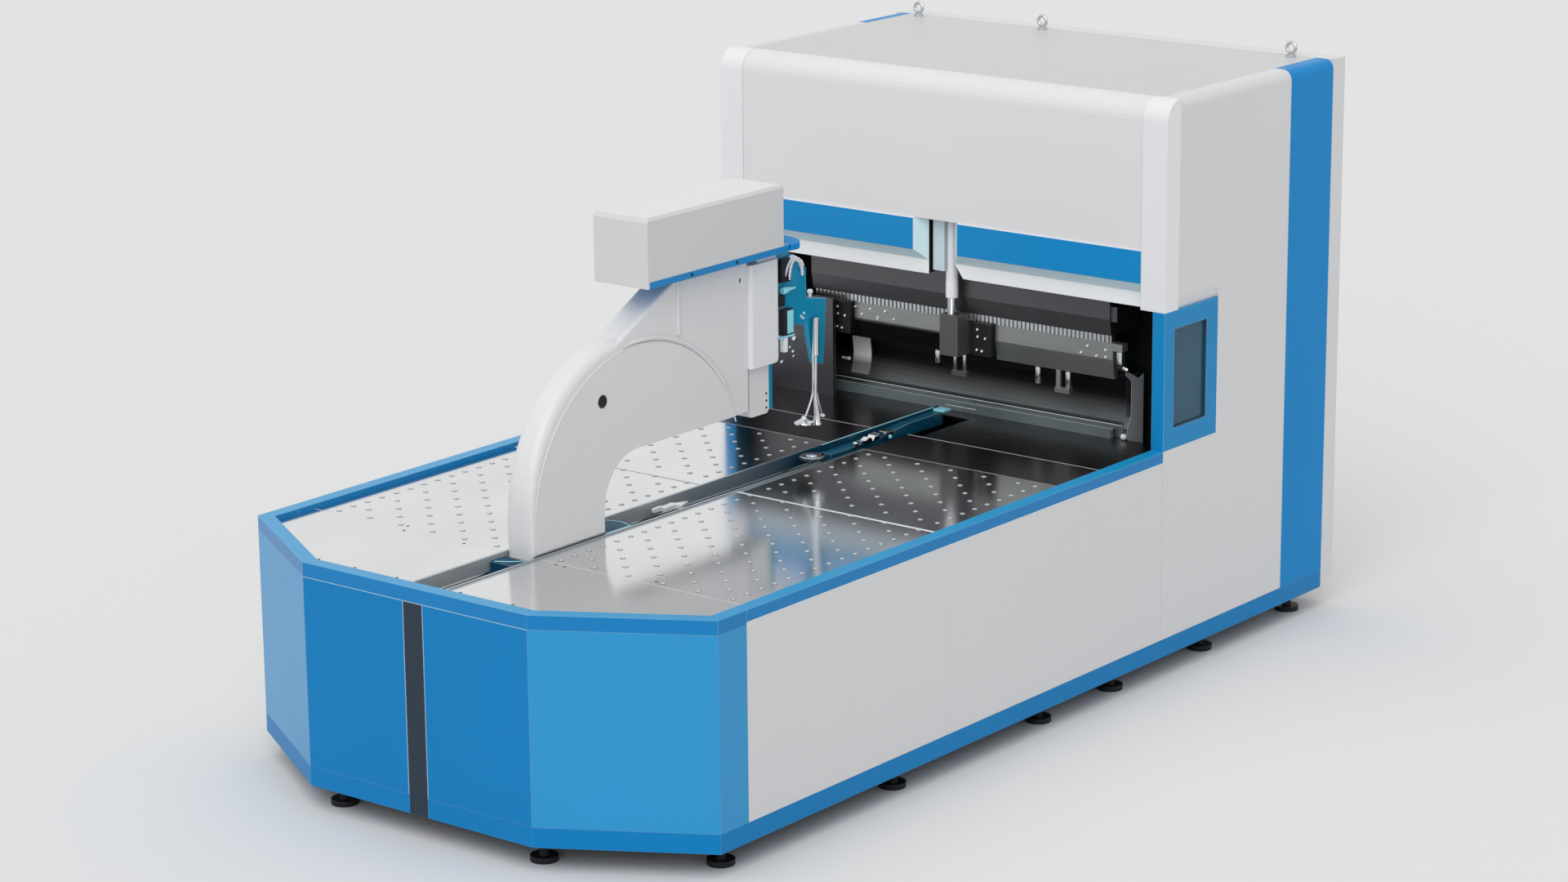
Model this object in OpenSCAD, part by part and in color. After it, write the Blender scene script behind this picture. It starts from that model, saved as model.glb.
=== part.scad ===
// Panel bender with a feeding table and a C-shaped sheet manipulator.
// X runs across the machine, Y from the loading end to the rear, Z up from the floor.

/* [Overall] */
// Width over the side panels
width = 2400; // [2200:20:2600]
// Height of the housing over the floor
height = 2520; // [2460:10:2600]
// Height of the table rim over the floor
rim_z = 1015; // [1010:1:1020]
// Thickness of the side walls and panels, and width of the rim
wall = 62; // [56:1:66]

/* [Feet and skirt] */
// Clear height under the skirt
foot_h = 98; // [90:1:110]
// Diameter of a foot pad
foot_pad_d = 110; // [90:2:120]
// Diameter of a foot post
foot_post_d = 40; // [30:1:50]
// Thickness of a foot pad
foot_pad_h = 22; // [16:1:30]
// Height of a foot's lock nut
foot_nut_h = 18; // [12:1:24]
// Inset of the side feet from the outer face
foot_inset = 110; // [100:2:130]
// Height of the skirt
skirt_h = 80; // [70:1:90]

/* [Table] */
// Half width of the flat front
front_half = 582; // [560:2:610]
// Length of the corner cut along the side
corner_y = 368; // [350:2:390]
// Length of the blue panel behind the cut corner
corner_panel_len = 168; // [150:2:190]
// Joint between the two side panels
side_joint_y = 1805; // [1750:5:1850]
// Fine gap between neighbouring panels and plates
seam = 3; // [2:0.5:4]
// Height of the rim on the front and corners
rim_h = 58; // [52:1:64]
// Height of the rim on the sides
side_rim_h = 47; // [42:1:52]
// Width of the dark strip in the middle of the front
strip_w = 97; // [80:1:110]
// Drop from the rim to the table plates
plate_drop = 20; // [16:1:24]
// Thickness of a table plate
plate_t = 40; // [34:1:44]
// Rear end of the entry plates
entry_y = 630; // [600:2:660]
// Joint between the front and rear plates
plate_joint_y = 1856; // [1820:2:1890]
// Gap between the front and rear plates
plate_gap = 4; // [2:0.5:6]

/* [Slot] */
// Half width of the slot for the manipulator
slot_half = 88; // [86:1:96]
// Height of the guide lips over the plates
lip_h = 6; // [4:1:10]
// Thickness of a guide lip
lip_t = 8; // [6:0.5:9]
// Depth of a guide lip under the plates
lip_drop = 60; // [40:1:80]
// Distance from the right lip's end to the end of the plates
lip_short = 292; // [270:2:310]
// Depth of the slot channel under the plates
channel_depth = 260; // [240:5:320]
// Diameter of the round stop pad in the slot
pad_d = 112; // [90:2:130]
// Thickness of the round stop pad
pad_t = 12; // [8:1:18]

/* [Tool floor] */
// Length of the black floor in front of the housing
floor_len = 647; // [630:2:660]
// Drop of the upper black floor under the plates
floor_drop = 5; // [3:1:8]
// Length of the upper black floor
floor_step = 328; // [310:2:350]
// Thickness of the lower black floor
floor_t = 6; // [4:1:8]
// Length of the slot channel under the housing
mouth_depth = 141; // [130:1:150]

/* [Housing] */
// Front face of the housing
housing_y = 3359; // [3340:1:3370]
// Length of the pale side panel
side_len = 976; // [950:2:1000]
// Length of the blue rear band
band_len = 352; // [330:2:370]
// Thickness of the rear cover
rear_cover_t = 98; // [80:1:110]
// Width of the side section's top flange
top_flange = 88; // [80:1:96]
// Radius along the top edges of the sides
side_edge_r = 45; // [30:1:55]
// Radius along the top front edge
front_edge_r = 90; // [70:2:100]
// Thickness of the roof sheet box
roof_t = 62; // [56:1:66]
// Width of a front corner trim
trim_w = 125; // [110:1:135]
// Depth of a front corner trim
trim_depth = 101; // [96:1:101]
// Recess of the front cover behind the trims
cover_recess = 4; // [2:0.5:6]
// Thickness of the front cover
cover_t = 97; // [80:1:99]
// Radius of a lifting eye's ring
eye_r = 30; // [26:1:34]
// Thickness of a lifting eye's bar
eye_bar = 16; // [12:1:18]
// Height of a lifting eye's base
eye_base_h = 14; // [10:1:18]
// Diameter of a lifting eye's base
eye_base_d = 46; // [40:1:50]
// Height of the open mouth over the rim
mouth_h = 604; // [590:1:615]
// Height of the sloping band along the lower edge of the side
band_slope_h = 50; // [40:1:60]
// Setback of the sloping band at its lower edge
band_slope = 10; // [6:1:14]

/* [Window] */
// Length of the blue window panel
window_panel_len = 416; // [400:2:430]
// Distance from the housing front to the window
window_in = 76; // [66:1:84]
// Width of the window
window_w = 257; // [245:1:270]
// Height of the sill over the rim
window_sill = 90; // [80:1:100]
// Height of the window
window_h = 433; // [420:1:445]
// Thickness of the window pane
pane_t = 8; // [6:0.5:12]
// Depth of the pane behind the outer face
pane_depth = 14; // [8:1:30]

/* [Fascia] */
// Height of the fascia between the mouth and the front cover
fascia_h = 257; // [245:1:265]
// Rise of the striped faces over the lip's lower edge
stripe_rise = 113; // [105:1:120]
// Half width of the notch between the striped panels
notch_half = 120; // [110:1:130]
// Size of the bevel around the striped panels
bevel = 50; // [40:1:56]
// Thickness of the fascia lip
fascia_t = 45; // [36:1:48]
// Width of the diagonal cut at the lips' inner ends
lip_cut = 46; // [36:1:56]
// Proud thickness of a stripe
stripe_t = 2; // [1:0.5:3]

/* [Press beam] */
// Setback of the press beam behind the housing front
beam_in = 161; // [155:1:168]
// Half length of the press beam
beam_half = 813; // [800:1:830]
// Depth of the press beam
beam_depth = 220; // [205:1:235]
// Drop of the beam's fold under the mouth's upper edge
fold_drop = 109; // [100:1:118]
// Height of the tapered part under the fold
beam_taper = 74; // [66:1:82]
// Rise of the beam over the mouth's upper edge
beam_rise = 101; // [90:1:110]
// Setback of the lower face behind the fold
beam_setback = 14; // [10:1:18]
// Pitch of the upper tool segments
tool_pitch = 22; // [20:0.5:26]
// Width of the gap between tool segments
tool_gap = 9; // [7:0.5:10]
// Height of the upper tool segments
tool_h = 34; // [28:1:40]
// Depth of the upper tool segments
tool_depth = 16; // [10:1:20]
// Thickness of the bar behind the tool segments
tool_back_t = 30; // [24:1:36]
// Thickness of the tool plates
tool_plate_t = 26; // [20:1:30]
// Height of the tool plates above their fold
tool_plate_upper = 74; // [66:1:82]
// Height of the tool plates under their fold
tool_plate_lower = 88; // [80:1:94]
// Step of the tool plates at their fold
tool_plate_step = 16; // [12:1:20]
// Diameter of a tool pin
pin_d = 28; // [22:1:32]
// Length of a tool pin
pin_h = 78; // [64:1:84]
// Width of the block under the middle pair of pins
pin_block_w = 76; // [70:1:84]
// Height of the block under a pair of pins
pin_block_h = 24; // [20:1:28]
// Height of the ear at the right tool plate's end
ear_h = 34; // [28:1:40]
// Diameter of the tube under the ear
ear_tube_d = 40; // [34:1:44]
// Length of the tube under the ear
ear_tube_h = 58; // [50:1:64]
// Height of the clamp blocks
clamp_block_h = 146; // [136:1:154]

/* [Centre cylinder] */
// Distance of the centre cylinder in front of the beam
centre_in = 45; // [42:1:50]
// Width of the square cylinder housing
centre_box_w = 76; // [70:1:84]
// Diameter of the centre cylinder
centre_tube_d = 58; // [52:1:60]
// Diameter of the centre rod
centre_rod_d = 42; // [36:1:44]
// Width of the centre block
centre_block_w = 96; // [88:1:104]
// Height of the centre block
centre_block_h = 184; // [172:1:192]
// Offset of the centre cylinder to the right
centre_x = 8; // [0:1:12]
// Length of the rod inside its tube
rod_reach = 240; // [220:5:260]
// Diameter of the pins under the centre block
foot_pin_d = 18; // [14:1:22]

/* [Blade carrier] */
// Thickness of the guide rails behind the beam
rail_t = 60; // [50:1:70]
// Width of a guide rail
rail_w = 90; // [70:2:110]
// Distance of the frame's ends beyond the beam's ends
frame_over = 35; // [28:1:40]
// Thickness of the frame's end flanges
flange_t = 26; // [20:1:30]
// Depth of the blade frame
frame_depth = 78; // [70:1:84]
// Height of the blade frame over the rim
frame_rise = 221; // [210:1:228]
// Rise of the end flanges over the blade frame
flange_rise = 38; // [30:1:44]
// Depth of the bar in front of the blade frame
bar_depth = 44; // [38:1:50]
// Height of the bar over the rim
bar_rise = 5; // [0:1:8]
// Depth of the pit under the plates
pit_depth = 195; // [180:1:210]
// Thickness of the fixed counter blade
counter_t = 24; // [18:1:30]

/* [Arm] */
// Thickness of the arm between its round covers
arm_t = 132; // [124:1:136]
// Proud thickness of a round cover
disc_t = 6; // [4:0.5:8]
// Front edge of the round covers
disc_y = 627; // [620:1:634]
// Radius of the round covers
disc_r = 641; // [630:1:650]
// Height of the round covers' centre over the rim
disc_rise = 76; // [70:1:82]
// Rear face of the arm's foot
arm_back_y = 1041; // [1034:1:1048]
// Radius of the crown along the middle of the rim
crown_r = 598; // [590:1:606]
// Height of the crown's centre over the round covers' centre
crown_rise = 84; // [78:1:90]
// Rounding of the rim's edges
rim_round = 44; // [36:1:50]
// Rounding of the neck's edges
neck_round = 12; // [8:1:16]
// Slope of the neck in degrees
neck_a = 28.4; // [26:0.2:31]
// Height of the throat over the rim
throat_rise = 295; // [285:1:300]
// Radius of the throat's inner corner
throat_r = 213; // [205:1:220]
// Width of the ridge round the covers
ridge_w = 24; // [18:1:28]
// Diameter of the hole in a cover
arm_hole_d = 54; // [46:1:60]
// Place of the upright rib on the neck
rib_y = 1520; // [1500:2:1540]
// Diameter of the rib
rib_d = 20; // [16:1:24]

/* [Clamp] */
// Near edge of the clamp housing
clamp_y = 1965; // [1955:1:1975]
// Width of the clamp housing along the machine
clamp_w = 190; // [182:1:198]
// Thickness of the clamp housing across the machine
clamp_t = 170; // [160:1:180]
// Height of the clamp housing
clamp_h = 438; // [425:1:450]
// Rounding of the clamp housing's edges
clamp_round = 16; // [10:1:22]
// Setback of the collar behind the housing's near edge
collar_in = 62; // [54:1:70]
// Thickness of the guide plate above the ram
guide_t = 13; // [8:1:18]
// Height of the collar over the clamp housing
collar_h = 36; // [30:1:42]
// Width of the clamp ram
ram_w = 130; // [120:1:136]
// Thickness of the clamp ram across the machine
ram_t = 110; // [100:1:120]
// Height of the ram's lower end over the rim
ram_rise = 260; // [255:1:268]

/* [Drive] */
// Width of the drive cover
drive_w = 280; // [270:2:300]
// Front end of the drive cover
drive_y = 1252; // [1240:2:1260]
// Length of the drive cover
drive_len = 865; // [850:5:880]
// Height of the drive cover's lower edge over the rim
drive_rise = 949; // [940:1:960]
// Height of the drive cover
drive_h = 286; // [275:1:295]
// Bevel of the drive cover's edges
drive_bevel = 12; // [8:1:16]
// Thickness of the blue base plate
base_plate_t = 28; // [24:1:32]
// Overhang of the base plate behind the drive cover
base_plate_over = 105; // [90:5:120]
// Corner radius of the base plate's rear end
base_plate_r = 90; // [70:2:110]

/* [Press rod] */
// Thickness of the teal bracket
bracket_t = 20; // [16:1:24]
// Length of the bracket behind the clamp housing
bracket_len = 274; // [262:2:284]
// Height of the bracket's main plate
bracket_h = 378; // [365:1:390]
// Width of the hanging plate at the bracket's end
hanger_w = 138; // [128:1:146]
// Height of the hanging plate
hanger_h = 305; // [295:1:315]
// Diameter of the press rod's sleeve
sleeve_d = 32; // [28:1:36]
// Length of the press rod's sleeve
sleeve_h = 166; // [150:2:180]
// Diameter of the press rod
rod_d = 14; // [12:1:18]
// Height of the press foot over the rim
press_foot_rise = 130; // [120:1:140]
// Diameter of the large press foot
press_foot_d = 86; // [76:1:92]
// Distance of the press rod behind the hanging plate's front edge
rod_back = 41; // [36:1:46]
// Drop of the sleeve's top under the hanging plate's top
sleeve_drop = 88; // [80:1:96]
// Height over the rim at which the rod forks
fork_rise = 262; // [255:1:268]
// Distance of the large foot in front of the rod
large_foot_y = 72; // [66:1:78]
// Distance of the small foot behind the rod
small_foot_y = 46; // [40:1:52]

/* [Hidden] */
$fn = 48;

// Small clearance between pieces that slide
slide = 0.3;

// Plan angles of the cut corners
half_w = width / 2;
corner_a = atan2(corner_y, half_w - front_half);
side_a = 90 - corner_a;
inner_half = half_w - wall;

// Heights of the table's layers
skirt_top = foot_h + skirt_h;
plate_z = rim_z - plate_drop;
frame_z = plate_z - plate_t;
floor_z = frame_z + floor_t;
channel_z = plate_z - channel_depth;
roof_z = height - roof_t;

// Places along the table and the housing
corner_panel_y = corner_y + corner_panel_len;
plate_end_y = housing_y - floor_len;
floor_step_y = plate_end_y + floor_step;
channel_end_y = housing_y + mouth_depth;
window_panel_y = housing_y + window_panel_len;
band_y = housing_y + side_len;
band_end_y = band_y + band_len;
depth = band_end_y + rear_cover_t;

// Heights of the housing's front
lip_z = rim_z + mouth_h;
stripe_z0 = lip_z + stripe_rise;
cover_z = lip_z + fascia_h;

// Places of the bending tools
beam_y = housing_y + beam_in;
lower_y = beam_y + beam_setback;
slide_y = beam_y + beam_depth;
core_y = slide_y + rail_t;
fold_z = lip_z - fold_drop;
beam_z = fold_z - beam_taper;
beam_top = lip_z + beam_rise;
plate_top = beam_z - tool_h;
tool_plate_y = lower_y + 6;
tool_plate_fold_z = plate_top - tool_plate_upper;
tool_plate_z = tool_plate_fold_z - tool_plate_lower;
frame_front_y = slide_y - frame_depth;
frame_top = rim_z + frame_rise;
bar_y = frame_front_y - bar_depth;
bar_half = beam_half - frame_over;
frame_half = beam_half + frame_over;
pit_z = plate_z - pit_depth;
pit_y = bar_y - 6;

blue = "#1c7ab8";
pale = "#d4d6d8";

// Point of the cut corner at an inset from the outer face
function front_corner(inset) = [front_half - inset * tan(corner_a / 2), inset];
function side_corner(inset) = [half_w - inset, corner_y + inset * tan(side_a / 2)];

// Shifts a module from the table front to the machine's own origin
module from_front() {
    translate([0, -depth / 2, 0]) children();
}

// Draws a flat plan outline between two heights
module plan(points, z0, z1) {
    translate([0, 0, z0]) linear_extrude(z1 - z0) polygon(points);
}

// Draws a box between two corners
module block(lo, hi) {
    translate(lo) cube(hi - lo);
}

// Extrudes a lengthwise profile of [y, z] points across X
module across(points, x0, x1) {
    translate([x0, 0, 0]) rotate([90, 0, 90]) linear_extrude(x1 - x0) polygon(points);
}

// Extrudes a cross section of [x, z] points along Y
module along(points, y0, y1) {
    translate([0, y1, 0]) rotate([90, 0, 0]) linear_extrude(y1 - y0) polygon(points);
}

// Draws a round bar between two points
module strut(from, to, d) {
    way = to - from;
    translate(from) rotate([0, acos(way[2] / norm(way)), atan2(way[1], way[0])])
        cylinder(d = d, h = norm(way));
}

// Repeats its children on one side or mirrors them to the other
module on_side(side) {
    mirror([side < 0 ? 1 : 0, 0, 0]) children();
}

// Points of an arc in a profile
function arc(centre, r, a0, a1, steps) =
    [for (i = [0:steps]) centre + r * [cos(a0 + (a1 - a0) * i / steps), sin(a0 + (a1 - a0) * i / steps)]];

// Feet

foot_side_y = [
    corner_y + foot_pad_d * 1.2, side_joint_y - foot_pad_d * 2, plate_end_y - foot_pad_d,
    housing_y - foot_pad_d * 2, (housing_y + band_y) / 2, band_end_y - foot_pad_d];
foot_front_x = front_half - foot_pad_d / 2;
foot_front_y = wall + foot_pad_d * 0.6;

module foot() {
    cylinder(d = foot_pad_d, h = foot_pad_h);
    cylinder(d = foot_post_d, h = foot_h);
    translate([0, 0, foot_h - 1.5 * foot_nut_h]) cylinder(d = foot_post_d * 1.6, h = foot_nut_h, $fn = 6);
}

module levelling_feet() {
    color("#26282b") from_front() for (side = [-1, 1]) {
        for (y = foot_side_y) translate([side * (half_w - foot_inset), y, 0]) foot();
        translate([side * foot_front_x, foot_front_y, 0]) foot();
    }
}

// Base and table

module skirt() {
    color(blue) from_front() difference() {
        plan(concat(
            [[-half_w, band_end_y], side_corner(0) - [2 * half_w, 0], front_corner(0) - [2 * front_half, 0]],
            [front_corner(0), side_corner(0), [half_w, band_end_y]]), foot_h, skirt_top);
        plan([
            [-inner_half, band_end_y + 1], [-side_corner(wall)[0], side_corner(wall)[1]],
            [-front_corner(wall)[0], wall], front_corner(wall), side_corner(wall),
            [inner_half, band_end_y + 1]], foot_h - 1, skirt_top + 1);
        block([-strip_w / 2, -1, foot_h - 1], [strip_w / 2, wall + 1, skirt_top + 1]);
    }
}

module table_frame(side) {
    from_front() on_side(side) plan([
        [slot_half, wall], front_corner(wall), side_corner(wall),
        [inner_half, channel_end_y], [slot_half, channel_end_y]], foot_h, frame_z);
}

module table_frames() {
    color("#3a3f45") for (side = [-1, 1]) table_frame(side);
}

module channel_floor() {
    color("#1b1d20") from_front()
        block([-slot_half, wall, foot_h], [slot_half, channel_end_y, channel_z]);
}

module front_panel(side) {
    from_front() on_side(side) plan([
        [strip_w / 2, 0], front_corner(0), front_corner(wall), [strip_w / 2, wall]],
        skirt_top, rim_z - rim_h);
}

module front_panels() {
    color(blue) for (side = [-1, 1]) front_panel(side);
}

module front_strip() {
    color("#3c4858") from_front()
        block([-strip_w / 2, 0, foot_h], [strip_w / 2, wall, rim_z - rim_h]);
}

module corner_panel(side) {
    from_front() on_side(side) plan([
        front_corner(0), side_corner(0), [half_w, corner_panel_y], [inner_half, corner_panel_y],
        side_corner(wall), front_corner(wall)], skirt_top, rim_z - rim_h);
}

module corner_panels() {
    color(blue) for (side = [-1, 1]) corner_panel(side);
}

// Two grey panels with a fine seam between them
module side_panel_pair(side) {
    from_front() on_side(side) {
        block([inner_half, corner_panel_y, skirt_top], [half_w, side_joint_y - seam, rim_z - side_rim_h]);
        block([inner_half, side_joint_y, skirt_top], [half_w, housing_y - seam, rim_z - side_rim_h]);
    }
}

module side_panels() {
    color(pale) for (side = [-1, 1]) side_panel_pair(side);
}

module rim_front() {
    color(blue) from_front() plan(concat(
        [[-half_w, corner_panel_y], [-half_w, corner_y], [-front_half, 0]],
        [front_corner(0), side_corner(0), [half_w, corner_panel_y]],
        [[inner_half, corner_panel_y], side_corner(wall), front_corner(wall)],
        [[-front_corner(wall)[0], wall], [-inner_half, side_corner(wall)[1]], [-inner_half, corner_panel_y]]),
        rim_z - rim_h, rim_z);
}

module rim_side(side) {
    from_front() on_side(side)
        block([inner_half, corner_panel_y, rim_z - side_rim_h], [half_w, housing_y, rim_z]);
}

module side_rims() {
    color(blue) for (side = [-1, 1]) rim_side(side);
}

// Entry plate with its cut corner, and the long plate behind it
module front_plate(side) {
    from_front() on_side(side) {
        plan([
            [slot_half, wall], front_corner(wall), side_corner(wall),
            [inner_half, entry_y - seam], [slot_half, entry_y - seam]], frame_z, plate_z);
        block([slot_half, entry_y, frame_z], [inner_half, plate_joint_y - plate_gap, plate_z]);
    }
}

module rear_plate(side) {
    from_front() on_side(side)
        block([slot_half, plate_joint_y, frame_z], [inner_half, plate_end_y - plate_gap, plate_z]);
}

module front_plate_left() {
    color("#c9cdd0") front_plate(-1);
}

module front_plate_right() {
    color("#c9cdd0") front_plate(1);
}

module rear_plate_left() {
    color("#b9bdc0") rear_plate(-1);
}

module rear_plate_right() {
    color("#b9bdc0") rear_plate(1);
}

// Steel lips along both edges of the slot, with a round stop pad behind the shorter right one
lip_end_y = plate_end_y - lip_short;
module guide_lip(side, end_y) {
    from_front() on_side(side)
        block([slot_half - lip_t, wall, plate_z - lip_drop], [slot_half, end_y, plate_z + lip_h]);
}

module guide_lips() {
    color("#9aa0a6") {
        guide_lip(-1, channel_end_y);
        guide_lip(1, lip_end_y);
        from_front() translate([0, lip_end_y + pad_d / 2, 0]) {
            translate([0, 0, plate_z + lip_h - pad_t]) cylinder(d = pad_d, h = pad_t);
            translate([0, 0, channel_z]) cylinder(d = pad_d / 3, h = channel_depth + lip_h - pad_t);
        }
    }
}

module tool_floor(side) {
    from_front() on_side(side) {
        across([
            [plate_end_y, frame_z], [channel_end_y, frame_z], [channel_end_y, floor_z],
            [floor_step_y, floor_z], [floor_step_y, plate_z - floor_drop],
            [plate_end_y, plate_z - floor_drop]], slot_half, inner_half);
    }
}

module tool_floors() {
    color("#232323") for (side = [-1, 1]) tool_floor(side);
}

// Machine body

// Bed under the tools, with a pit behind the counter blade for the blade frame
module tool_bed() {
    color("#1d1e20") from_front() across([
        [channel_end_y, foot_h], [core_y, foot_h], [core_y, pit_z], [pit_y, pit_z],
        [pit_y, floor_z], [channel_end_y, floor_z]], -inner_half, inner_half);
}

module machine_core() {
    color("#17181a") from_front()
        block([-inner_half, core_y, foot_h], [inner_half, band_end_y, cover_z]);
}

module upper_housing() {
    color("#222326") from_front()
        block([-inner_half, housing_y + cover_recess + cover_t, cover_z], [inner_half, band_end_y, roof_z]);
}

// Section of a side wall with its top flange and rounded edge
module side_wall(y0, y1, z0) {
    along(concat(
        [[inner_half, z0], [half_w, z0]],
        arc([half_w - side_edge_r, height - side_edge_r], side_edge_r, 0, 90, 6),
        [[half_w - top_flange, height], [half_w - top_flange, roof_z], [inner_half, roof_z]]), y0, y1);
}

// Pale side with the window's bay, the trim's corner and a sloping band over the bay cut from it
module machine_side(side) {
    from_front() on_side(side) difference() {
        side_wall(housing_y, band_y, skirt_top);
        block([inner_half - 1, housing_y - 1, rim_z], [half_w + 1, window_panel_y, lip_z]);
        block(
            [half_w - trim_w - 1, housing_y - 1, lip_z - 1],
            [half_w + 1, housing_y + trim_depth, height + 1]);
        along([
            [half_w - band_slope, lip_z - 1], [half_w + 1, lip_z - 1], [half_w + 1, lip_z + band_slope_h],
            [half_w, lip_z + band_slope_h], [half_w - band_slope, lip_z]],
            housing_y + trim_depth - 1, window_panel_y);
    }
}

module machine_sides() {
    color(pale) for (side = [-1, 1]) machine_side(side);
}

window_y0 = housing_y + window_in;
window_y1 = window_y0 + window_w;
window_z0 = rim_z + window_sill;
window_z1 = window_z0 + window_h;
module window_panels() {
    color(blue) from_front() for (side = [-1, 1]) on_side(side) difference() {
        block([inner_half, housing_y, rim_z], [half_w, window_panel_y, lip_z]);
        block([inner_half - 1, window_y0, window_z0], [half_w + 1, window_y1, window_z1]);
    }
}

module window_panes() {
    pane_x = half_w - pane_depth;
    color("#3a627d") from_front() for (side = [-1, 1]) on_side(side)
        block([pane_x - pane_t, window_y0, window_z0], [pane_x, window_y1, window_z1]);
}

module blue_bands() {
    color(blue) from_front() for (side = [-1, 1]) on_side(side)
        side_wall(band_y, band_end_y, skirt_top);
}

module rear_cover() {
    color(pale) from_front()
        block([-half_w, band_end_y, foot_h + skirt_h / 2], [half_w, depth, height]);
}

module roof_cover() {
    color("#e0e1e2") from_front() block(
        [top_flange - half_w, housing_y + cover_recess + cover_t, roof_z],
        [half_w - top_flange, band_end_y, height]);
}

// Lengthwise profile of the front with its rounded top edge
function front_profile(y0, y1, z0) = concat(
    [[y0, z0], [y1, z0], [y1, height]],
    arc([y0 + front_edge_r, height - front_edge_r], front_edge_r, 90, 180, 8));

module front_cover() {
    color(pale) from_front() across(
        front_profile(housing_y + cover_recess, housing_y + cover_recess + cover_t, cover_z),
        trim_w - half_w, half_w - trim_w);
}

module corner_trims() {
    color("#dcdedf") from_front() for (side = [-1, 1]) on_side(side) across(
        front_profile(housing_y, housing_y + trim_depth, lip_z), half_w - trim_w, half_w);
}

// Striped fascia panel with a bevel to the lip under it, a bevel beside the notch and a cut lip end
module fascia(side) {
    lip_y = housing_y + bevel;
    back_y = lip_y + fascia_t;
    notch_lip = notch_half - bevel;
    from_front() on_side(side) intersection() {
        across([
            [housing_y, cover_z], [housing_y, stripe_z0], [lip_y, stripe_z0 - bevel], [lip_y, lip_z],
            [back_y, lip_z], [back_y, cover_z]], 0, half_w - trim_w);
        plan([
            [notch_half, housing_y - 1], [half_w, housing_y - 1], [half_w, back_y + 1],
            [notch_lip, back_y + 1], [notch_lip, lip_y], [notch_half, housing_y]],
            lip_z - 1, cover_z + 1);
        along([
            [notch_lip - 1, stripe_z0 - bevel], [notch_lip, stripe_z0 - bevel], [notch_lip + lip_cut, lip_z],
            [half_w, lip_z], [half_w, cover_z], [notch_lip - 1, cover_z]], housing_y - 1, back_y + 1);
    }
}

module fascia_panels() {
    color("#e4e6e7") for (side = [-1, 1]) fascia(side);
}

module fascia_stripes() {
    color(blue) from_front() for (side = [-1, 1]) on_side(side)
        block([notch_half, housing_y - stripe_t, stripe_z0], [half_w - trim_w, housing_y, cover_z - 4]);
}

eye_x = [top_flange * 1.9 - half_w, -0.27 * half_w, half_w - top_flange * 2.15];
module lifting_eyes() {
    color("#8d9296") from_front() for (x = eye_x) translate([x, band_end_y - 3 * eye_bar, height]) {
        cylinder(d = eye_base_d, h = eye_base_h);
        translate([0, 0, eye_base_h + eye_r - 2]) rotate([90, 0, 0]) rotate_extrude()
            translate([eye_r - eye_bar / 2, 0]) circle(d = eye_bar, $fn = 24);
    }
}

// Press beam and its tools

rail_x = 0.76 * beam_half;
module slide_rails() {
    color("#55585c") from_front() for (side = [-1, 1]) on_side(side)
        block([rail_x - rail_w / 2, slide_y + slide, pit_z], [rail_x + rail_w / 2, core_y, cover_z]);
}

// Beam with a folded front and a small end block on the right
end_block = [31, 70, 67];
module press_beam() {
    color("#4a4746") from_front() {
        across([
            [beam_y, fold_z], [lower_y, beam_z], [slide_y, beam_z], [slide_y, beam_top], [beam_y, beam_top]],
            -beam_half, beam_half);
        translate([beam_half, beam_y + 10, fold_z - 10]) cube(end_block);
    }
}

tool_count = floor((2 * beam_half - tool_gap) / tool_pitch);
module upper_tools() {
    color("#b4b8bb") from_front() {
        x0 = -tool_count * tool_pitch / 2;
        block([x0, lower_y + tool_depth, plate_top], [-x0, lower_y + tool_depth + tool_back_t, beam_z]);
        for (i = [0:tool_count - 1]) translate([x0 + i * tool_pitch + tool_gap / 2, 0, 0])
            block([0, lower_y, plate_top], [tool_pitch - tool_gap, lower_y + tool_depth, beam_z]);
    }
}

// Spans of the tools as shares of the beam's half length
plate_spans = [[-0.717, -0.081], [0.24, 1.005]] * beam_half;
plate_ear = 1.066 * beam_half;
pin_x = [-0.166, 0.504, 0.637, 0.701] * beam_half;
module tool_plates() {
    step_y = tool_plate_y + tool_plate_step;
    back_y = step_y + tool_plate_t;
    pin_y = step_y + tool_plate_t / 2;
    pin_z = tool_plate_z - pin_h;
    ear_x = (plate_spans[1][1] + plate_ear) / 2;
    seat = pin_d / 2 + 1;
    color("#6f7472") from_front() {
        for (span = plate_spans) across([
            [tool_plate_y, plate_top], [tool_plate_y, tool_plate_fold_z], [step_y, tool_plate_z],
            [back_y, tool_plate_z], [back_y, plate_top]], span[0], span[1]);
        block([plate_spans[1][1], tool_plate_y, plate_top - ear_h], [plate_ear, back_y, plate_top]);
        translate([ear_x, tool_plate_y + tool_plate_t, plate_top - ear_h - ear_tube_h])
            cylinder(d = ear_tube_d, h = ear_tube_h);
        for (x = pin_x) translate([x, pin_y, pin_z]) cylinder(d = pin_d, h = pin_h);
        translate([(pin_x[2] + pin_x[3] - pin_block_w) / 2, pin_y - seat, pin_z - pin_block_h])
            cube([pin_block_w, 2 * seat, pin_block_h]);
    }
}

block_spans = [[-0.845, -0.722], [0.112, 0.235]] * beam_half;
module clamp_blocks() {
    color("#161719") from_front() for (span = block_spans) block(
        [span[0], tool_plate_y - 28, plate_top - clamp_block_h], [span[1], tool_plate_y + 30, plate_top]);
}

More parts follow.
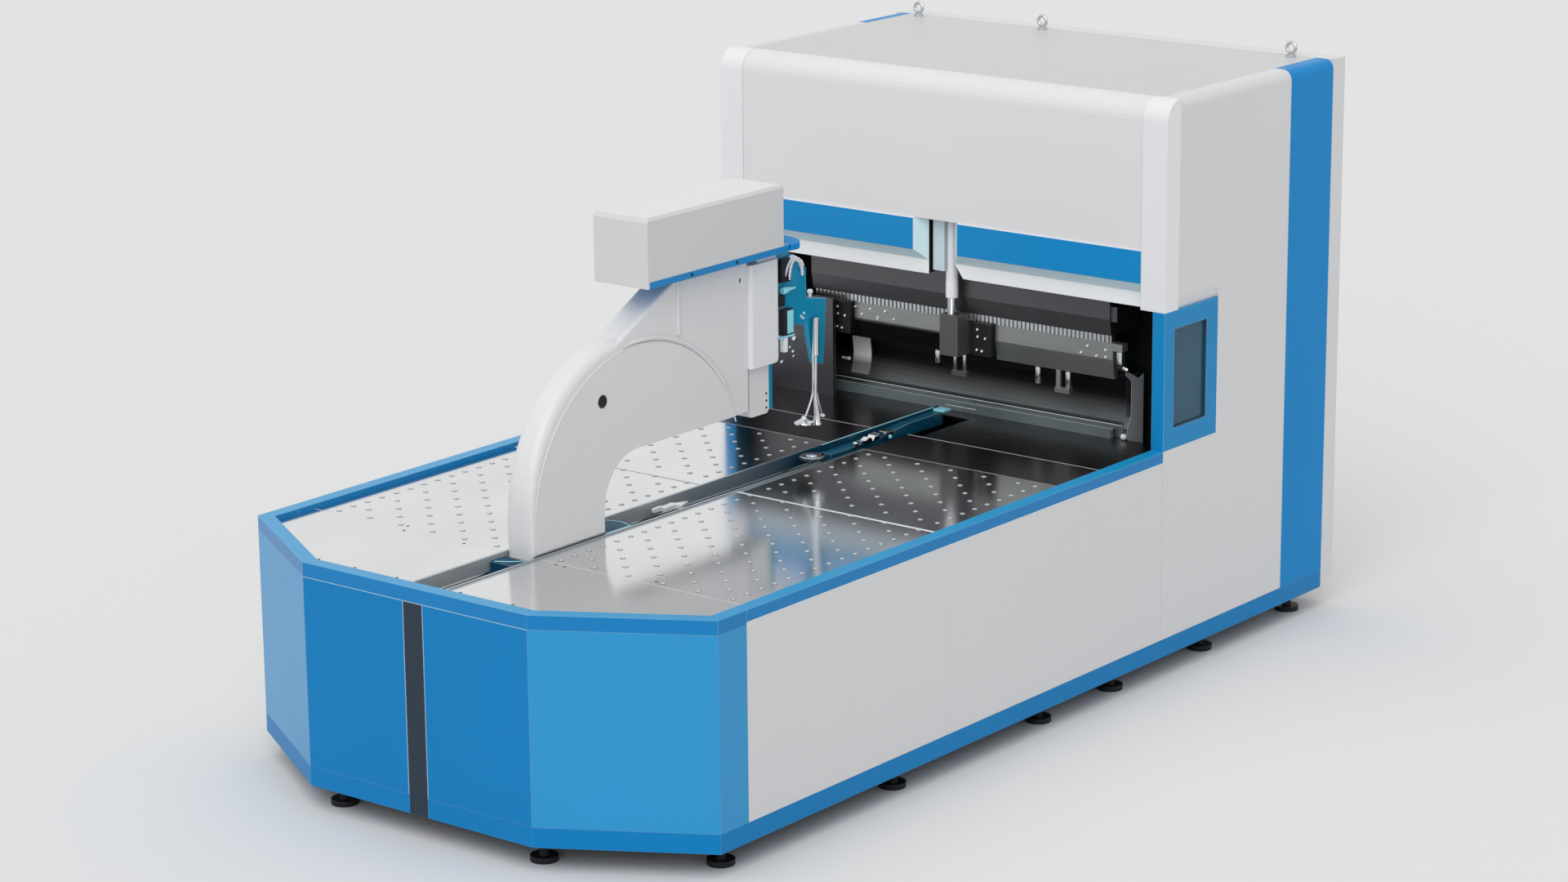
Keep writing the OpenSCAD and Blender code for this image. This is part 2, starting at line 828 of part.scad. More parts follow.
// Square housing with the tube that the rod slides in
centre_y = beam_y - centre_in;
tube_z = fold_z;
module centre_cylinder() {
    half = centre_box_w / 2;
    color("#d7d9da") from_front() translate([centre_x, centre_y, 0]) difference() {
        union() {
            translate([0, 0, tube_z]) cylinder(d = centre_tube_d, h = fascia_h);
            block([-half, -centre_box_w, lip_z + 16], [half, centre_tube_d / 2, cover_z]);
        }
        translate([0, 0, tube_z - 1]) cylinder(d = centre_rod_d + 2 * slide, h = rod_reach + 20);
    }
}

// Block on the rod, with a foot that reaches under the upper tools and two pins under it
centre_top = beam_z - 2;
foot_pins = [-28, 24];
module centre_block() {
    half = centre_block_w / 2;
    low = centre_top - centre_block_h;
    pin_z = low - pin_h - 6;
    pin_seat = foot_pin_d / 2 + 3;
    color("#47474a") from_front() translate([centre_x, 0, 0]) {
        difference() {
            block([-half, centre_y - 26, low], [half, tool_plate_y + 30, centre_top]);
            block([-half - 1, lower_y - 3, plate_top], [half + 1, tool_plate_y + 31, centre_top + 1]);
        }
        translate([0, centre_y, centre_top]) cylinder(d = centre_rod_d, h = rod_reach + tube_z - beam_z - 20);
        for (x = foot_pins) translate([x, tool_plate_y, pin_z]) cylinder(d = foot_pin_d, h = low - pin_z);
        block(
            [foot_pins[0] - pin_seat, tool_plate_y - pin_seat, pin_z - pin_block_h],
            [foot_pins[1] + pin_seat, tool_plate_y + pin_seat, pin_z]);
    }
}

// Fixed lower blade that the sheet rests on
module counter_blade() {
    color("#a9adb0") from_front() block(
        [-bar_half, pit_y - counter_t, floor_z], [bar_half, pit_y, plate_z + lip_h]);
}

// C-shaped frame that carries the moving blade, with deeper C-shaped end flanges
frame_low = pit_z + 80;
inner_frame = frame_half - flange_t;
module blade_frame() {
    hollow_r = 200;
    flange_y = bar_y - 18;
    throat_y = frame_front_y - 16;
    color("#5b5d5f") from_front() {
        across(concat(
            [[slide_y, frame_top], [frame_front_y, frame_top]],
            arc([frame_front_y - hollow_r + 10, rim_z + 115], hollow_r, 14, -30, 8),
            [[frame_front_y - 20, frame_low], [slide_y, frame_low]]), -inner_frame, inner_frame);
        for (side = [-1, 1]) on_side(side) across([
            [slide_y, frame_top], [frame_front_y + 38, frame_top - 14], [flange_y, frame_top + flange_rise],
            [flange_y, frame_top + flange_rise - 24], [throat_y, frame_top - 20], [throat_y, rim_z + 40],
            [bar_y, rim_z - 5], [bar_y, frame_low], [slide_y, frame_low]], inner_frame, frame_half);
    }
}

// Bar with the moving blade's edge and an end block on the right
bar_end = [inner_frame - bar_half, 24, 53];
module lower_blade() {
    back_y = frame_front_y - 20;
    bar_z = rim_z + bar_rise;
    color("#a9adb0") from_front() {
        across([
            [bar_y, frame_low + 30], [back_y, frame_low + 30], [back_y, bar_z - 14],
            [bar_y + 8, bar_z], [bar_y, bar_z]], -bar_half, bar_half);
        translate([bar_half, bar_y, rim_z - bar_end[2]]) cube(bar_end);
    }
}

left_frame_x = -0.806 * beam_half;
module left_end_frame() {
    color("#55555a") from_front()
        block([-inner_half, tool_plate_y - 68, floor_z], [left_frame_x, tool_plate_y - 44, beam_z - 20]);
}

// Manipulator

arm_half = arm_t / 2;
foot_z = plate_z - 20;
throat_z = rim_z + throat_rise;
drive_z = rim_z + drive_rise;
clamp_end_y = clamp_y + clamp_w;
clamp_z = drive_z - collar_h - clamp_h;
ram_y = clamp_y + 20;
disc_centre = [disc_y + disc_r, rim_z + disc_rise];

module arm_carriage() {
    color("#2a2d30") from_front()
        block([-arm_half, disc_y - 65, channel_z + slide], [arm_half, arm_back_y + 80, foot_z]);
}

// Share of a rounding's depth reached at a distance from the side face
function rounded(e, r) = e >= r ? 1 : sqrt(1 - pow(1 - e / r, 2));

// Lengthwise outline of the arm at a distance from its side face
// The rim runs from the covers' circle at the side to the crown's circle in the middle,
// and ends where it meets the sloping neck
edge_shift = [-6, 19];
neck_start = disc_centre + (disc_r + 22) * [cos(104.2), sin(104.2)];
function arm_section(e) = let (
    t = rounded(e, rim_round),
    inset = neck_round * (1 - rounded(e, neck_round)),
    r = disc_r - 5 - t * (disc_r - 5 - crown_r),
    centre = disc_centre + edge_shift + t * ([crown_r - disc_r - 15, crown_rise] - edge_shift),
    start = neck_start + inset * [sin(neck_a), -cos(neck_a)],
    gap = (start - centre) * [-sin(neck_a), cos(neck_a)],
    meet = 90 + neck_a - acos(min(1, gap / r)))
    concat(
        [[arm_back_y, foot_z], [centre[0] - r, foot_z]],
        arc(centre, r, 180, meet, 24),
        [[start[0] + (drive_z - start[1]) / tan(neck_a), drive_z], [clamp_y, drive_z], [clamp_y, throat_z]],
        arc([arm_back_y + throat_r, throat_z - throat_r], throat_r, 90, 180, 8));

// Arm lofted through its outlines, which lie closer together at the rounded edges
// Its flat ends are strips between the outer edge of the outline and the throat's edge
outer_points = 28;
throat_points = 11;
module arm_body() {
    steps = [for (a = [0:15:90]) rim_round * (1 - cos(a))];
    last = len(steps) - 1;
    inset = concat(steps, [for (i = [last:-1:0]) steps[i]]);
    x = concat([for (e = steps) e - arm_half], [for (i = [last:-1:0]) arm_half - steps[i]]);
    n = outer_points + throat_points;
    far = (len(x) - 1) * n;
    points = [for (k = [0:len(x) - 1]) for (p = arm_section(inset[k])) [x[k], p[0], p[1]]];
    walls = [for (k = [0:len(x) - 2]) for (i = [0:n - 1]) let (j = (i + 1) % n) each [
        [k * n + i, k * n + j, (k + 1) * n + j], [k * n + i, (k + 1) * n + j, (k + 1) * n + i]]];
    strip = [for (i = [0:outer_points - 2]) let (
        j = floor(i * (throat_points - 1) / (outer_points - 1)),
        k = floor((i + 1) * (throat_points - 1) / (outer_points - 1)))
        each concat([[i + 1, i + 2, (n - j) % n]], k > j ? [[i + 2, n - k, (n - j) % n]] : [])];
    far_end = [for (f = strip) [f[0] + far, f[1] + far, f[2] + far]];
    near_end = [for (f = strip) [f[2], f[1], f[0]]];
    color("#d9dadb") from_front() polyhedron(points, concat(walls, far_end, near_end));
}

// Round covers with a hole, the ridge round them and the rib up the neck
ridge_r = disc_r + seam;
arm_hole = disc_centre + [-226, 451];
module arm_discs() {
    color("#cdcfd1") from_front() for (side = [-1, 1]) on_side(side) {
        difference() {
            intersection() {
                across(arm_section(0), arm_half, arm_half + disc_t);
                translate([0, disc_centre[0], disc_centre[1]]) rotate([0, 90, 0])
                    cylinder(r = disc_r, h = half_w, $fn = 96);
                block([0, disc_y, plate_z + lip_h + 6], [half_w, clamp_y - 6, height]);
            }
            translate([0, arm_hole[0], arm_hole[1]]) rotate([0, 90, 0]) cylinder(d = arm_hole_d, h = half_w);
        }
        across(concat(arc(disc_centre, ridge_r, 28, 98, 24), arc(disc_centre, ridge_r + ridge_w, 98, 28, 24)),
            arm_half, arm_half + disc_t / 2);
        plan(arc([arm_half, rib_y], rib_d / 2, -90, 90, 8), disc_centre[1] + disc_r - 10, drive_z);
    }
}

drive_end_y = drive_y + drive_len;
module drive_cover() {
    half = drive_w / 2;
    top = drive_z + drive_h;
    plate_y = drive_y + 10;
    edge = drive_bevel;
    color("#dfe0e1") from_front() intersection() {
        across([
            [drive_y, drive_z], [plate_y, drive_z], [plate_y, drive_z + base_plate_t],
            [drive_end_y, drive_z + base_plate_t], [drive_end_y, top - edge], [drive_end_y - edge, top],
            [drive_y + edge, top], [drive_y, top - 1.5 * edge]], -half, half);
        along([
            [-half, drive_z - 1], [half, drive_z - 1], [half, top - edge], [half - edge, top + 1],
            [edge - half, top + 1], [-half, top - edge]], drive_y - 1, drive_end_y + 1);
    }
}

base_end_y = drive_end_y + base_plate_over;
module drive_base_plate() {
    corner = [drive_w / 2 - base_plate_r, base_end_y - base_plate_r];
    color(blue) from_front() plan(concat(
        [[-drive_w / 2, drive_y + 10], [drive_w / 2, drive_y + 10]],
        arc(corner, base_plate_r, 0, 90, 8), arc([-corner[0], corner[1]], base_plate_r, 90, 180, 8)),
        drive_z, drive_z + base_plate_t);
}

// Plan outline of a bar with rounded edges
function rounded_bar(x, y0, y1, r) = concat(
    arc([x - r, y0 + r], r, -90, 0, 4), arc([x - r, y1 - r], r, 0, 90, 4),
    arc([r - x, y1 - r], r, 90, 180, 4), arc([r - x, y0 + r], r, 180, 270, 4));

// Housing with the ram's shaft, a chamfer at the lower rear, a narrower collar on top
// and a guide plate along the end of the arm in front of the ram
ram_half = ram_t / 2;
ram_top = drive_z - collar_h - 38;
chamfer = [26, 20];
module clamp_housing() {
    half = clamp_t / 2;
    shaft = ram_half + slide;
    top = drive_z - collar_h;
    color("#e2e3e4") from_front() {
        difference() {
            plan(rounded_bar(half, clamp_y, clamp_end_y, clamp_round), clamp_z, top);
            block([-shaft, ram_y - slide, clamp_z - 1], [shaft, ram_y + ram_w + slide, ram_top + 8]);
            across([
                [clamp_end_y + 1, clamp_z - 1], [clamp_end_y + 1, clamp_z + chamfer[1]],
                [clamp_end_y - chamfer[0], clamp_z - 1]], -half - 1, half + 1);
        }
        block([clamp_round - half, clamp_y + collar_in, top], [half - clamp_round, clamp_end_y - 1, drive_z]);
        block([-ram_half, clamp_y, throat_z], [ram_half, clamp_y + guide_t, clamp_z]);
    }
}

module clamp_ram() {
    ram_z = rim_z + ram_rise;
    nose = 14;
    color("#e6e7e8") from_front() across([
        [ram_y, ram_z + nose], [ram_y + nose, ram_z], [ram_y + ram_w - nose, ram_z],
        [ram_y + ram_w, ram_z + nose], [ram_y + ram_w, ram_top], [ram_y, ram_top]], -ram_half, ram_half);
}

// Bracket behind the clamp, with the plate that hangs from its end
bracket_y = clamp_end_y + bracket_len;
bracket_z = drive_z - bracket_h;
hanger_top = bracket_z + 113;
module rod_bracket() {
    hanger_z = hanger_top - hanger_h;
    step_y = bracket_y - bracket_len / 2;
    color("#00628c") from_front() across([
        [clamp_end_y, drive_z], [clamp_end_y, bracket_z + 104], [step_y, bracket_z + 104],
        [step_y, bracket_z + 26], [bracket_y - 3, bracket_z], [bracket_y + 46, hanger_z + 13],
        [bracket_y + hanger_w - 24, hanger_z], [bracket_y + hanger_w, hanger_top - 25],
        [bracket_y, hanger_top], [bracket_y, drive_z - 14], [base_end_y, drive_z]],
        -bracket_t / 2, bracket_t / 2);
}

// Sleeve with two rods that spread to three feet
rod_y = bracket_y + rod_back;
module press_rod() {
    rod_x = (bracket_t + sleeve_d) / 2;
    sleeve_z = hanger_top - sleeve_drop - sleeve_h;
    fork_z = rim_z + fork_rise;
    foot_low = rim_z + press_foot_rise;
    fork = [rod_x, rod_y - 4, fork_z];
    large_foot = [rod_x - 8, rod_y - large_foot_y, foot_low + 16];
    middle_foot = [rod_x + 6, rod_y, foot_low];
    small_foot = [rod_x, rod_y + small_foot_y, foot_low + 26];
    color("#c8ccce") from_front() {
        translate([rod_x, rod_y, sleeve_z]) cylinder(d = sleeve_d, h = sleeve_h);
        strut(fork, [rod_x, rod_y, sleeve_z + 2], rod_d);
        strut(fork, [rod_x, rod_y - rod_d, sleeve_z + 2], rod_d / 2);
        translate(fork) sphere(d = rod_d * 1.6);
        strut(fork, large_foot + [0, 8, 18], rod_d);
        strut(fork, middle_foot + [0, 0, 4], rod_d * 1.3);
        strut(fork, small_foot + [0, -2, 4], rod_d / 2);
        translate(large_foot) cylinder(d1 = press_foot_d, d2 = press_foot_d * 0.6, h = 24);
        translate(middle_foot) cylinder(d = press_foot_d / 2, h = 10);
        translate(small_foot) cylinder(d = press_foot_d / 3, h = 8);
    }
}

levelling_feet();
skirt();
table_frames();
channel_floor();
front_panels();
front_strip();
corner_panels();
side_panels();
rim_front();
side_rims();
front_plate_left();
front_plate_right();
rear_plate_left();
rear_plate_right();
guide_lips();
tool_floors();
tool_bed();
machine_core();
upper_housing();
machine_sides();
window_panels();
window_panes();
blue_bands();
rear_cover();
roof_cover();
front_cover();
corner_trims();
fascia_panels();
fascia_stripes();
lifting_eyes();
slide_rails();
press_beam();
upper_tools();
tool_plates();
clamp_blocks();
centre_cylinder();
centre_block();
blade_frame();
lower_blade();
counter_blade();
left_end_frame();
arm_carriage();
arm_body();
arm_discs();
drive_cover();
drive_base_plate();
clamp_housing();
clamp_ram();
rod_bracket();
press_rod();
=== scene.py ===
import math
import bmesh
import bpy
from mathutils import Matrix, Vector


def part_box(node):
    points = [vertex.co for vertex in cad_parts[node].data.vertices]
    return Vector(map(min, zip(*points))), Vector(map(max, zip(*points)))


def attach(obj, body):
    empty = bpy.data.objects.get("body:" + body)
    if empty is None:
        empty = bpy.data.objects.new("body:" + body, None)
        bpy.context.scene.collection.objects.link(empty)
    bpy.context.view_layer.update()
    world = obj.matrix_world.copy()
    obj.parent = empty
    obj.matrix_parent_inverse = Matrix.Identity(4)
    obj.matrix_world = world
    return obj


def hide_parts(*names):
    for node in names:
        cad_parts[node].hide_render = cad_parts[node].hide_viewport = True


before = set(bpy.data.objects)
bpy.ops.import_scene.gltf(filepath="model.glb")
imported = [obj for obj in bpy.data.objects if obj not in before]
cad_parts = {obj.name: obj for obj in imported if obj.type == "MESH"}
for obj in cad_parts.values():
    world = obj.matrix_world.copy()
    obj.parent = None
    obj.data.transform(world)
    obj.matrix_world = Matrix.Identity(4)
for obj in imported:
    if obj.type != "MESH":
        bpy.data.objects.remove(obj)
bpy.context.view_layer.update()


# Camera
# It stands at the loading end, right of the machine and over head height, and looks down its length.
# Its place and angles are the ones from which the real machine's edges were seen.
CAMERA_PLACE = Vector((10.258, -13.047, 5.459))
CAMERA_YAW = math.radians(38.411)
CAMERA_PITCH = math.radians(-14.767)
CAMERA_ROLL = math.radians(-0.525)
camera_data = bpy.data.cameras.new("camera")
camera_data.lens = 92.965
camera = bpy.data.objects.new("camera", camera_data)
bpy.context.scene.collection.objects.link(camera)
camera.matrix_world = (
    Matrix.Translation(CAMERA_PLACE)
    @ Matrix.Rotation(CAMERA_YAW, 4, "Z")
    @ Matrix.Rotation(math.pi / 2 + CAMERA_PITCH, 4, "X")
    @ Matrix.Rotation(CAMERA_ROLL, 4, "Z")
)
bpy.context.scene.camera = camera
bpy.context.scene.view_settings.view_transform = "Standard"


# Studio
# A plain pale floor under a plain pale sky, with two broad soft lamps: one over the camera's right
# shoulder and one overhead. Rays from the camera and from glossy metal see the sky as white.
def srgb(red, green, blue):
    """The linear colour of a screen colour from 0 to 255."""
    linear = [((c / 255 + 0.055) / 1.055) ** 2.4 if c > 10 else c / 3294.6 for c in (red, green, blue)]
    return (*linear, 1.0)


class Field:
    """A value, colour or vector that varies over a surface: one output socket of a shader node."""

    def __init__(self, tree, socket=None):
        self.tree = tree
        self.socket = socket

    def node(self, kind, inputs=None, output=0, **settings):
        """Adds any node by its type, with its settings first and then the values or links of its sockets."""
        made = self.tree.nodes.new("ShaderNode" + kind)
        for name, value in settings.items():
            if name == "stops":
                ramp = made.color_ramp.elements
                while len(ramp) < len(value):
                    ramp.new(1.0)
                for element, (place, colour) in zip(ramp, value):
                    element.position = place
                    element.color = colour
            else:
                setattr(made, name, value)
        for name, value in (inputs or {}).items():
            if isinstance(value, Field):
                self.tree.links.new(value.socket, made.inputs[name])
            else:
                made.inputs[name].default_value = value
        return Field(self.tree, made.outputs[output])

    def sum(self, operation, *values):
        return self.node("Math", dict(enumerate(values)), operation=operation)

    def __add__(self, other):
        return self.sum("ADD", self, other)

    def __radd__(self, other):
        return self.sum("ADD", other, self)

    def __sub__(self, other):
        return self.sum("SUBTRACT", self, other)

    def __rsub__(self, other):
        return self.sum("SUBTRACT", other, self)

    def __mul__(self, other):
        return self.sum("MULTIPLY", self, other)

    def __rmul__(self, other):
        return self.sum("MULTIPLY", other, self)

    def __gt__(self, other):
        return self.sum("GREATER_THAN", self, other)

    def __lt__(self, other):
        return self.sum("LESS_THAN", self, other)

    def blend(self, low, high):
        """A colour from low to high, by this value as the factor."""
        return self.node("Mix", {0: self, 6: low, 7: high}, output=2, data_type="RGBA")

    def noise(self, scale, detail=2.0, stretch=(1, 1, 1)):
        """Noise over this place, from 0 to 1, drawn out along the axes where stretch is under 1."""
        spread = self.node("VectorMath", {0: self, 1: stretch}, operation="MULTIPLY")
        return self.node("TexNoise", {"Vector": spread, "Scale": scale, "Detail": detail})


FLOOR_COLOUR = srgb(227, 227, 227)
SKY_COLOUR = srgb(245, 245, 245)
SKY_FILL = 0.62
floor_material = bpy.data.materials.new("studio_floor")
floor_material.use_nodes = True
floor_shader = floor_material.node_tree.nodes["Principled BSDF"]
floor_shader.inputs["Base Color"].default_value = FLOOR_COLOUR
floor_shader.inputs["Roughness"].default_value = 0.9
floor_mesh = bpy.data.meshes.new("studio_floor")
FLOOR_REACH = 150
floor_mesh.from_pydata(
    [(x * FLOOR_REACH, y * FLOOR_REACH, 0) for x, y in ((-1, -1), (1, -1), (1, 1), (-1, 1))], [], [(0, 1, 2, 3)]
)
floor_mesh.materials.append(floor_material)
floor = bpy.data.objects.new("studio_floor", floor_mesh)
bpy.context.scene.collection.objects.link(floor)

world = bpy.data.worlds.new("studio_sky")
world.use_nodes = True
bpy.context.scene.world = world
sky = world.node_tree.nodes["Background"]
sky.inputs["Color"].default_value = SKY_COLOUR
rays = Field(world.node_tree)
seen = rays.node("LightPath", output="Is Camera Ray")
glossy = rays.node("LightPath", output="Is Glossy Ray")
through = rays.node("LightPath", output="Is Transmission Ray")
direct = seen.sum("MAXIMUM", seen, glossy.sum("MAXIMUM", glossy, through))
world.node_tree.links.new((direct * (1 - SKY_FILL) + SKY_FILL).socket, sky.inputs["Strength"])


def lamp(name, strength, spread, azimuth, elevation, gleam):
    """A broad soft lamp far off, at an azimuth clockwise from the loading end and a height, in degrees."""
    data = bpy.data.lights.new(name, "SUN")
    data.energy = strength
    data.angle = math.radians(spread)
    made = bpy.data.objects.new(name, data)
    bpy.context.scene.collection.objects.link(made)
    a, e = math.radians(azimuth), math.radians(elevation)
    towards = Vector((math.sin(a) * math.cos(e), -math.cos(a) * math.cos(e), math.sin(e)))
    made.rotation_euler = towards.to_track_quat("Z", "Y").to_euler()
    made.location = towards * 20
    made.visible_glossy = gleam


lamp("shoulder_lamp", 1.0, 50, 27, 36, gleam=True)
lamp("overhead_lamp", 0.75, 80, -20, 75, gleam=False)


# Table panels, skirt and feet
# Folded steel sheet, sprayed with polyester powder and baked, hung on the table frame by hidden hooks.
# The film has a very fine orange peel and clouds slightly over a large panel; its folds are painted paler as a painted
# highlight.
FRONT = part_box("rim_front")[0].y


def finish(name, fixed, build):
    """A material whose uniform values sit on the shader, and whose varying ones build returns."""
    material = bpy.data.materials.new(name)
    material.use_nodes = True
    shader = material.node_tree.nodes["Principled BSDF"]
    for socket, value in fixed.items():
        shader.inputs[socket].default_value = value
    place = Field(material.node_tree).node("TexCoord", output="Object")
    for socket, field in build(place).items():
        material.node_tree.links.new(field.socket, shader.inputs[socket])
    return material


def edge_mask(place, radius):
    """1 along a sharp edge and 0 on flat sheet, with the softened normal that goes with it."""
    soft = place.node("Bevel", {"Radius": radius}, samples=4)
    true = place.node("NewGeometry", output="True Normal")
    turn = soft.node("VectorMath", {0: soft, 1: true}, operation="DOT_PRODUCT", output="Value")
    return soft.node("MapRange", {"Value": turn, "From Min": 0.995, "From Max": 0.9}), soft


def powder_coat(name, colour, rough=0.38, cloud=0.05, edge=0.22, peel=0.05, shine=0.5):
    """Baked powder paint of one colour, painted paler along its folds as a painted highlight."""
    dark = tuple(c * (1 - cloud) for c in colour[:3]) + (1,)
    light = tuple(min(1, c * (1 + cloud)) for c in colour[:3]) + (1,)
    # Painted highlight: the paler colour that the folds take through the edge mask.
    lit_colour = tuple(c + (1 - c) * edge for c in colour[:3]) + (1,)

    def build(place):
        mask, soft = edge_mask(place, 0.0035)
        clouds = place.noise(1.1, 3)
        grain = place.noise(700, 1)
        return {
            "Base Color": mask.blend(clouds.blend(dark, light), lit_colour),
            "Roughness": place.noise(6, 4) * 0.08 + (rough - 0.04),
            "Normal": grain.node("Bump", {"Strength": peel, "Distance": 0.0004, "Height": grain, "Normal": soft}),
        }

    return finish(name, {"IOR": 1.5, "Coat Roughness": 0.2, "Specular IOR Level": shine}, build)


def dress(material, *names):
    """Gives CAD nodes their finish, in their own material slots."""
    for name in names:
        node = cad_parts[name]
        if not node.material_slots:
            node.data.materials.append(None)
        for slot in node.material_slots:
            slot.link = "OBJECT"
            slot.material = material


class Shape:
    """A mesh in the making, in metres from the middle of the table's front edge and up from the ground."""

    def __init__(self):
        self.mesh = bmesh.new()

    def corner(self, place):
        return self.mesh.verts.new((place[0], place[1] + FRONT, place[2]))

    def skin(self, rings, closed=True, ends=True):
        """Faces between rows of points, and over the first and last row of a solid."""
        rows = [[self.corner(place) for place in ring] for ring in rings]
        for near, far in zip(rows, rows[1:]):
            for i in range(len(near) if closed else len(near) - 1):
                j = (i + 1) % len(near)
                self.mesh.faces.new((near[i], near[j], far[j], far[i]))
        if ends:
            self.mesh.faces.new(rows[0][::-1])
            self.mesh.faces.new(rows[-1])
        return rows

    def soften(self, rows, bevel, steps):
        edges = {edge for row in rows for corner in row for edge in corner.link_edges}
        bmesh.ops.bevel(self.mesh, geom=list(edges), offset=bevel, segments=steps, profile=0.7, affect="EDGES")

    def block(self, low, high, bevel=0.0, steps=2):
        """A block between two corners, its edges rounded by a bevel."""
        (x0, y0, z0), (x1, y1, z1) = low, high
        around = ((x0, y0), (x1, y0), (x1, y1), (x0, y1))
        rows = self.skin([[(x, y, z) for x, y in around] for z in (z0, z1)])
        if bevel:
            self.soften(rows, bevel, steps)
        return self

    def prism(self, outline, low, high, along="X", bevel=0.0, steps=2):
        """A flat outline of pairs drawn out along an axis, its edges rounded by a bevel."""
        place = {"X": lambda d, a, b: (d, a, b), "Y": lambda d, a, b: (a, d, b), "Z": lambda d, a, b: (a, b, d)}
        rows = self.skin([[place[along](level, *pair) for pair in outline] for level in (low, high)])
        if bevel:
            self.soften(rows, bevel, steps)
        return self

    def turned(self, profile, place, towards=(0, 0, 1), around=20):
        """A turned piece from pairs of radius and height, standing at a place and pointing in a direction."""
        turn = Vector(towards).to_track_quat("Z", "Y").to_matrix()
        angles = [math.tau * i / around for i in range(around)]
        self.skin([
            [Vector(place) + turn @ Vector((radius * math.cos(a), radius * math.sin(a), height)) for a in angles]
            for radius, height in profile
        ])
        return self

    def tube(self, path, radius, around=10, steps=6):
        """A round bar or hose along a smooth curve through the points of a path."""
        points = [Vector(p) for p in path]
        run = []
        for i in range(len(points) - 1):
            a, b = points[i], points[i + 1]
            before, after = points[max(i - 1, 0)], points[min(i + 2, len(points) - 1)]
            for step in range(steps):
                t = step / steps
                slope_a, slope_b = (b - before) / 2, (after - a) / 2
                run.append(
                    a * (2 * t**3 - 3 * t**2 + 1) + slope_a * (t**3 - 2 * t**2 + t)
                    + b * (3 * t**2 - 2 * t**3) + slope_b * (t**3 - t**2)
                )
        run.append(points[-1])
        side = (run[1] - run[0]).orthogonal().normalized()
        rings = []
        for i, centre in enumerate(run):
            ahead = (run[min(i + 1, len(run) - 1)] - run[max(i - 1, 0)]).normalized()
            side = (side - ahead * side.dot(ahead)).normalized()
            up = ahead.cross(side)
            wide = radius(i / (len(run) - 1)) if callable(radius) else radius
            rings.append([
                centre + (side * math.cos(math.tau * k / around) + up * math.sin(math.tau * k / around)) * wide
                for k in range(around)
            ])
        self.skin(rings)
        return self

    def screw(self, place, towards, head):
        """A cap screw's head of a given radius, with its chamfer and the socket for the key."""
        r = head
        return self.turned(
            [(r, -0.001), (r, 0.6 * r), (0.86 * r, 0.75 * r), (0.5 * r, 0.75 * r), (0.46 * r, 0.2 * r), (0.01 * r, 0.2 * r)],
            place, towards, 14,
        )


def made(name, shape, material, body, slot, replaced=(), turn=32):
    """Puts a shape into the scene as one piece that rides on a body of the machine."""
    bmesh.ops.recalc_face_normals(shape.mesh, faces=shape.mesh.faces)
    data = bpy.data.meshes.new(name)
    shape.mesh.to_mesh(data)
    shape.mesh.free()
    data.polygons.foreach_set("use_smooth", [True] * len(data.polygons))
    data.set_sharp_from_angle(angle=math.radians(turn))
    data.materials.append(material)
    piece = bpy.data.objects.new(name, data)
    bpy.context.scene.collection.objects.link(piece)
    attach(piece, body)
    if replaced:
        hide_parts(*replaced)
    return piece


blue_paint = powder_coat("blue_paint", srgb(2, 124, 188), shine=0.18, edge=0.12)
dress(blue_paint, "skirt", "front_panels")
# Painted light: the corner panels take a lighter, glossier copy of the blue paint, for the light they catch.
corner_lit_blue = powder_coat("corner_lit_blue", srgb(24, 146, 204), rough=0.3, shine=0.5, edge=0.12)
dress(corner_lit_blue, "corner_panels")
pale_paint = powder_coat("pale_paint", srgb(214, 215, 217), cloud=0.02)
dress(pale_paint, "side_panels", "machine_sides", "rear_cover")
strip_paint = powder_coat("strip_paint", srgb(38, 52, 66), rough=0.45, shine=0.25)
dress(strip_paint, "front_strip")
black_paint = powder_coat("black_paint", srgb(22, 23, 25), rough=0.5, edge=0.05, shine=0.3)
dress(black_paint, "levelling_feet", "table_frames", "channel_floor", "machine_core", "upper_housing")

PANEL_TOP = 0.957
SIDE_PANEL_TOP = 0.968
HALF_WIDTH = 1.2
CORNER_Y = 0.536
FRONT_HALF = 0.582
SIDE_END = 3.356
# Painted highlight: pale blue strips along the front panels' seams and top edge, and along the housing's band edges.
highlight_blue_edge = powder_coat("highlight_blue_edge", srgb(150, 196, 226), rough=0.3, cloud=0.02, shine=0.5)
front_edges = Shape()
strip_half = 0.049
for side in (-1, 1):
    front_edges.block((side * (strip_half + 0.0015) - 0.0015, -0.0006, 0.178),
                      (side * (strip_half + 0.0015) + 0.0015, 0.02, PANEL_TOP - 0.001))
front_edges.block((-FRONT_HALF, -0.0006, PANEL_TOP - 0.0025), (FRONT_HALF, 0.02, PANEL_TOP + 0.0005))
made("front_panel_edges", front_edges, highlight_blue_edge, "machine", "blue")

# Painted highlight: near-white strips along the side panels' tops and seams, and along the window panels' edges.
white_highlight_edge = powder_coat("white_highlight_edge", srgb(236, 238, 240), rough=0.3, cloud=0.02)
side_edges = Shape()
for side in (-1, 1):
    face, inside = side * (HALF_WIDTH + 0.0006), side * (HALF_WIDTH - 0.02)
    low_x, high_x = min(face, inside), max(face, inside)
    side_edges.block((low_x, CORNER_Y + 0.002, SIDE_PANEL_TOP - 0.003), (high_x, SIDE_END, SIDE_PANEL_TOP + 0.0005))
    for seam_y in (1.8025, SIDE_END - 0.0025):
        side_edges.block((low_x, seam_y, 0.18), (high_x, seam_y + 0.0025, SIDE_PANEL_TOP - 0.003))
made("side_panel_edges", side_edges, white_highlight_edge, "machine", "pale")
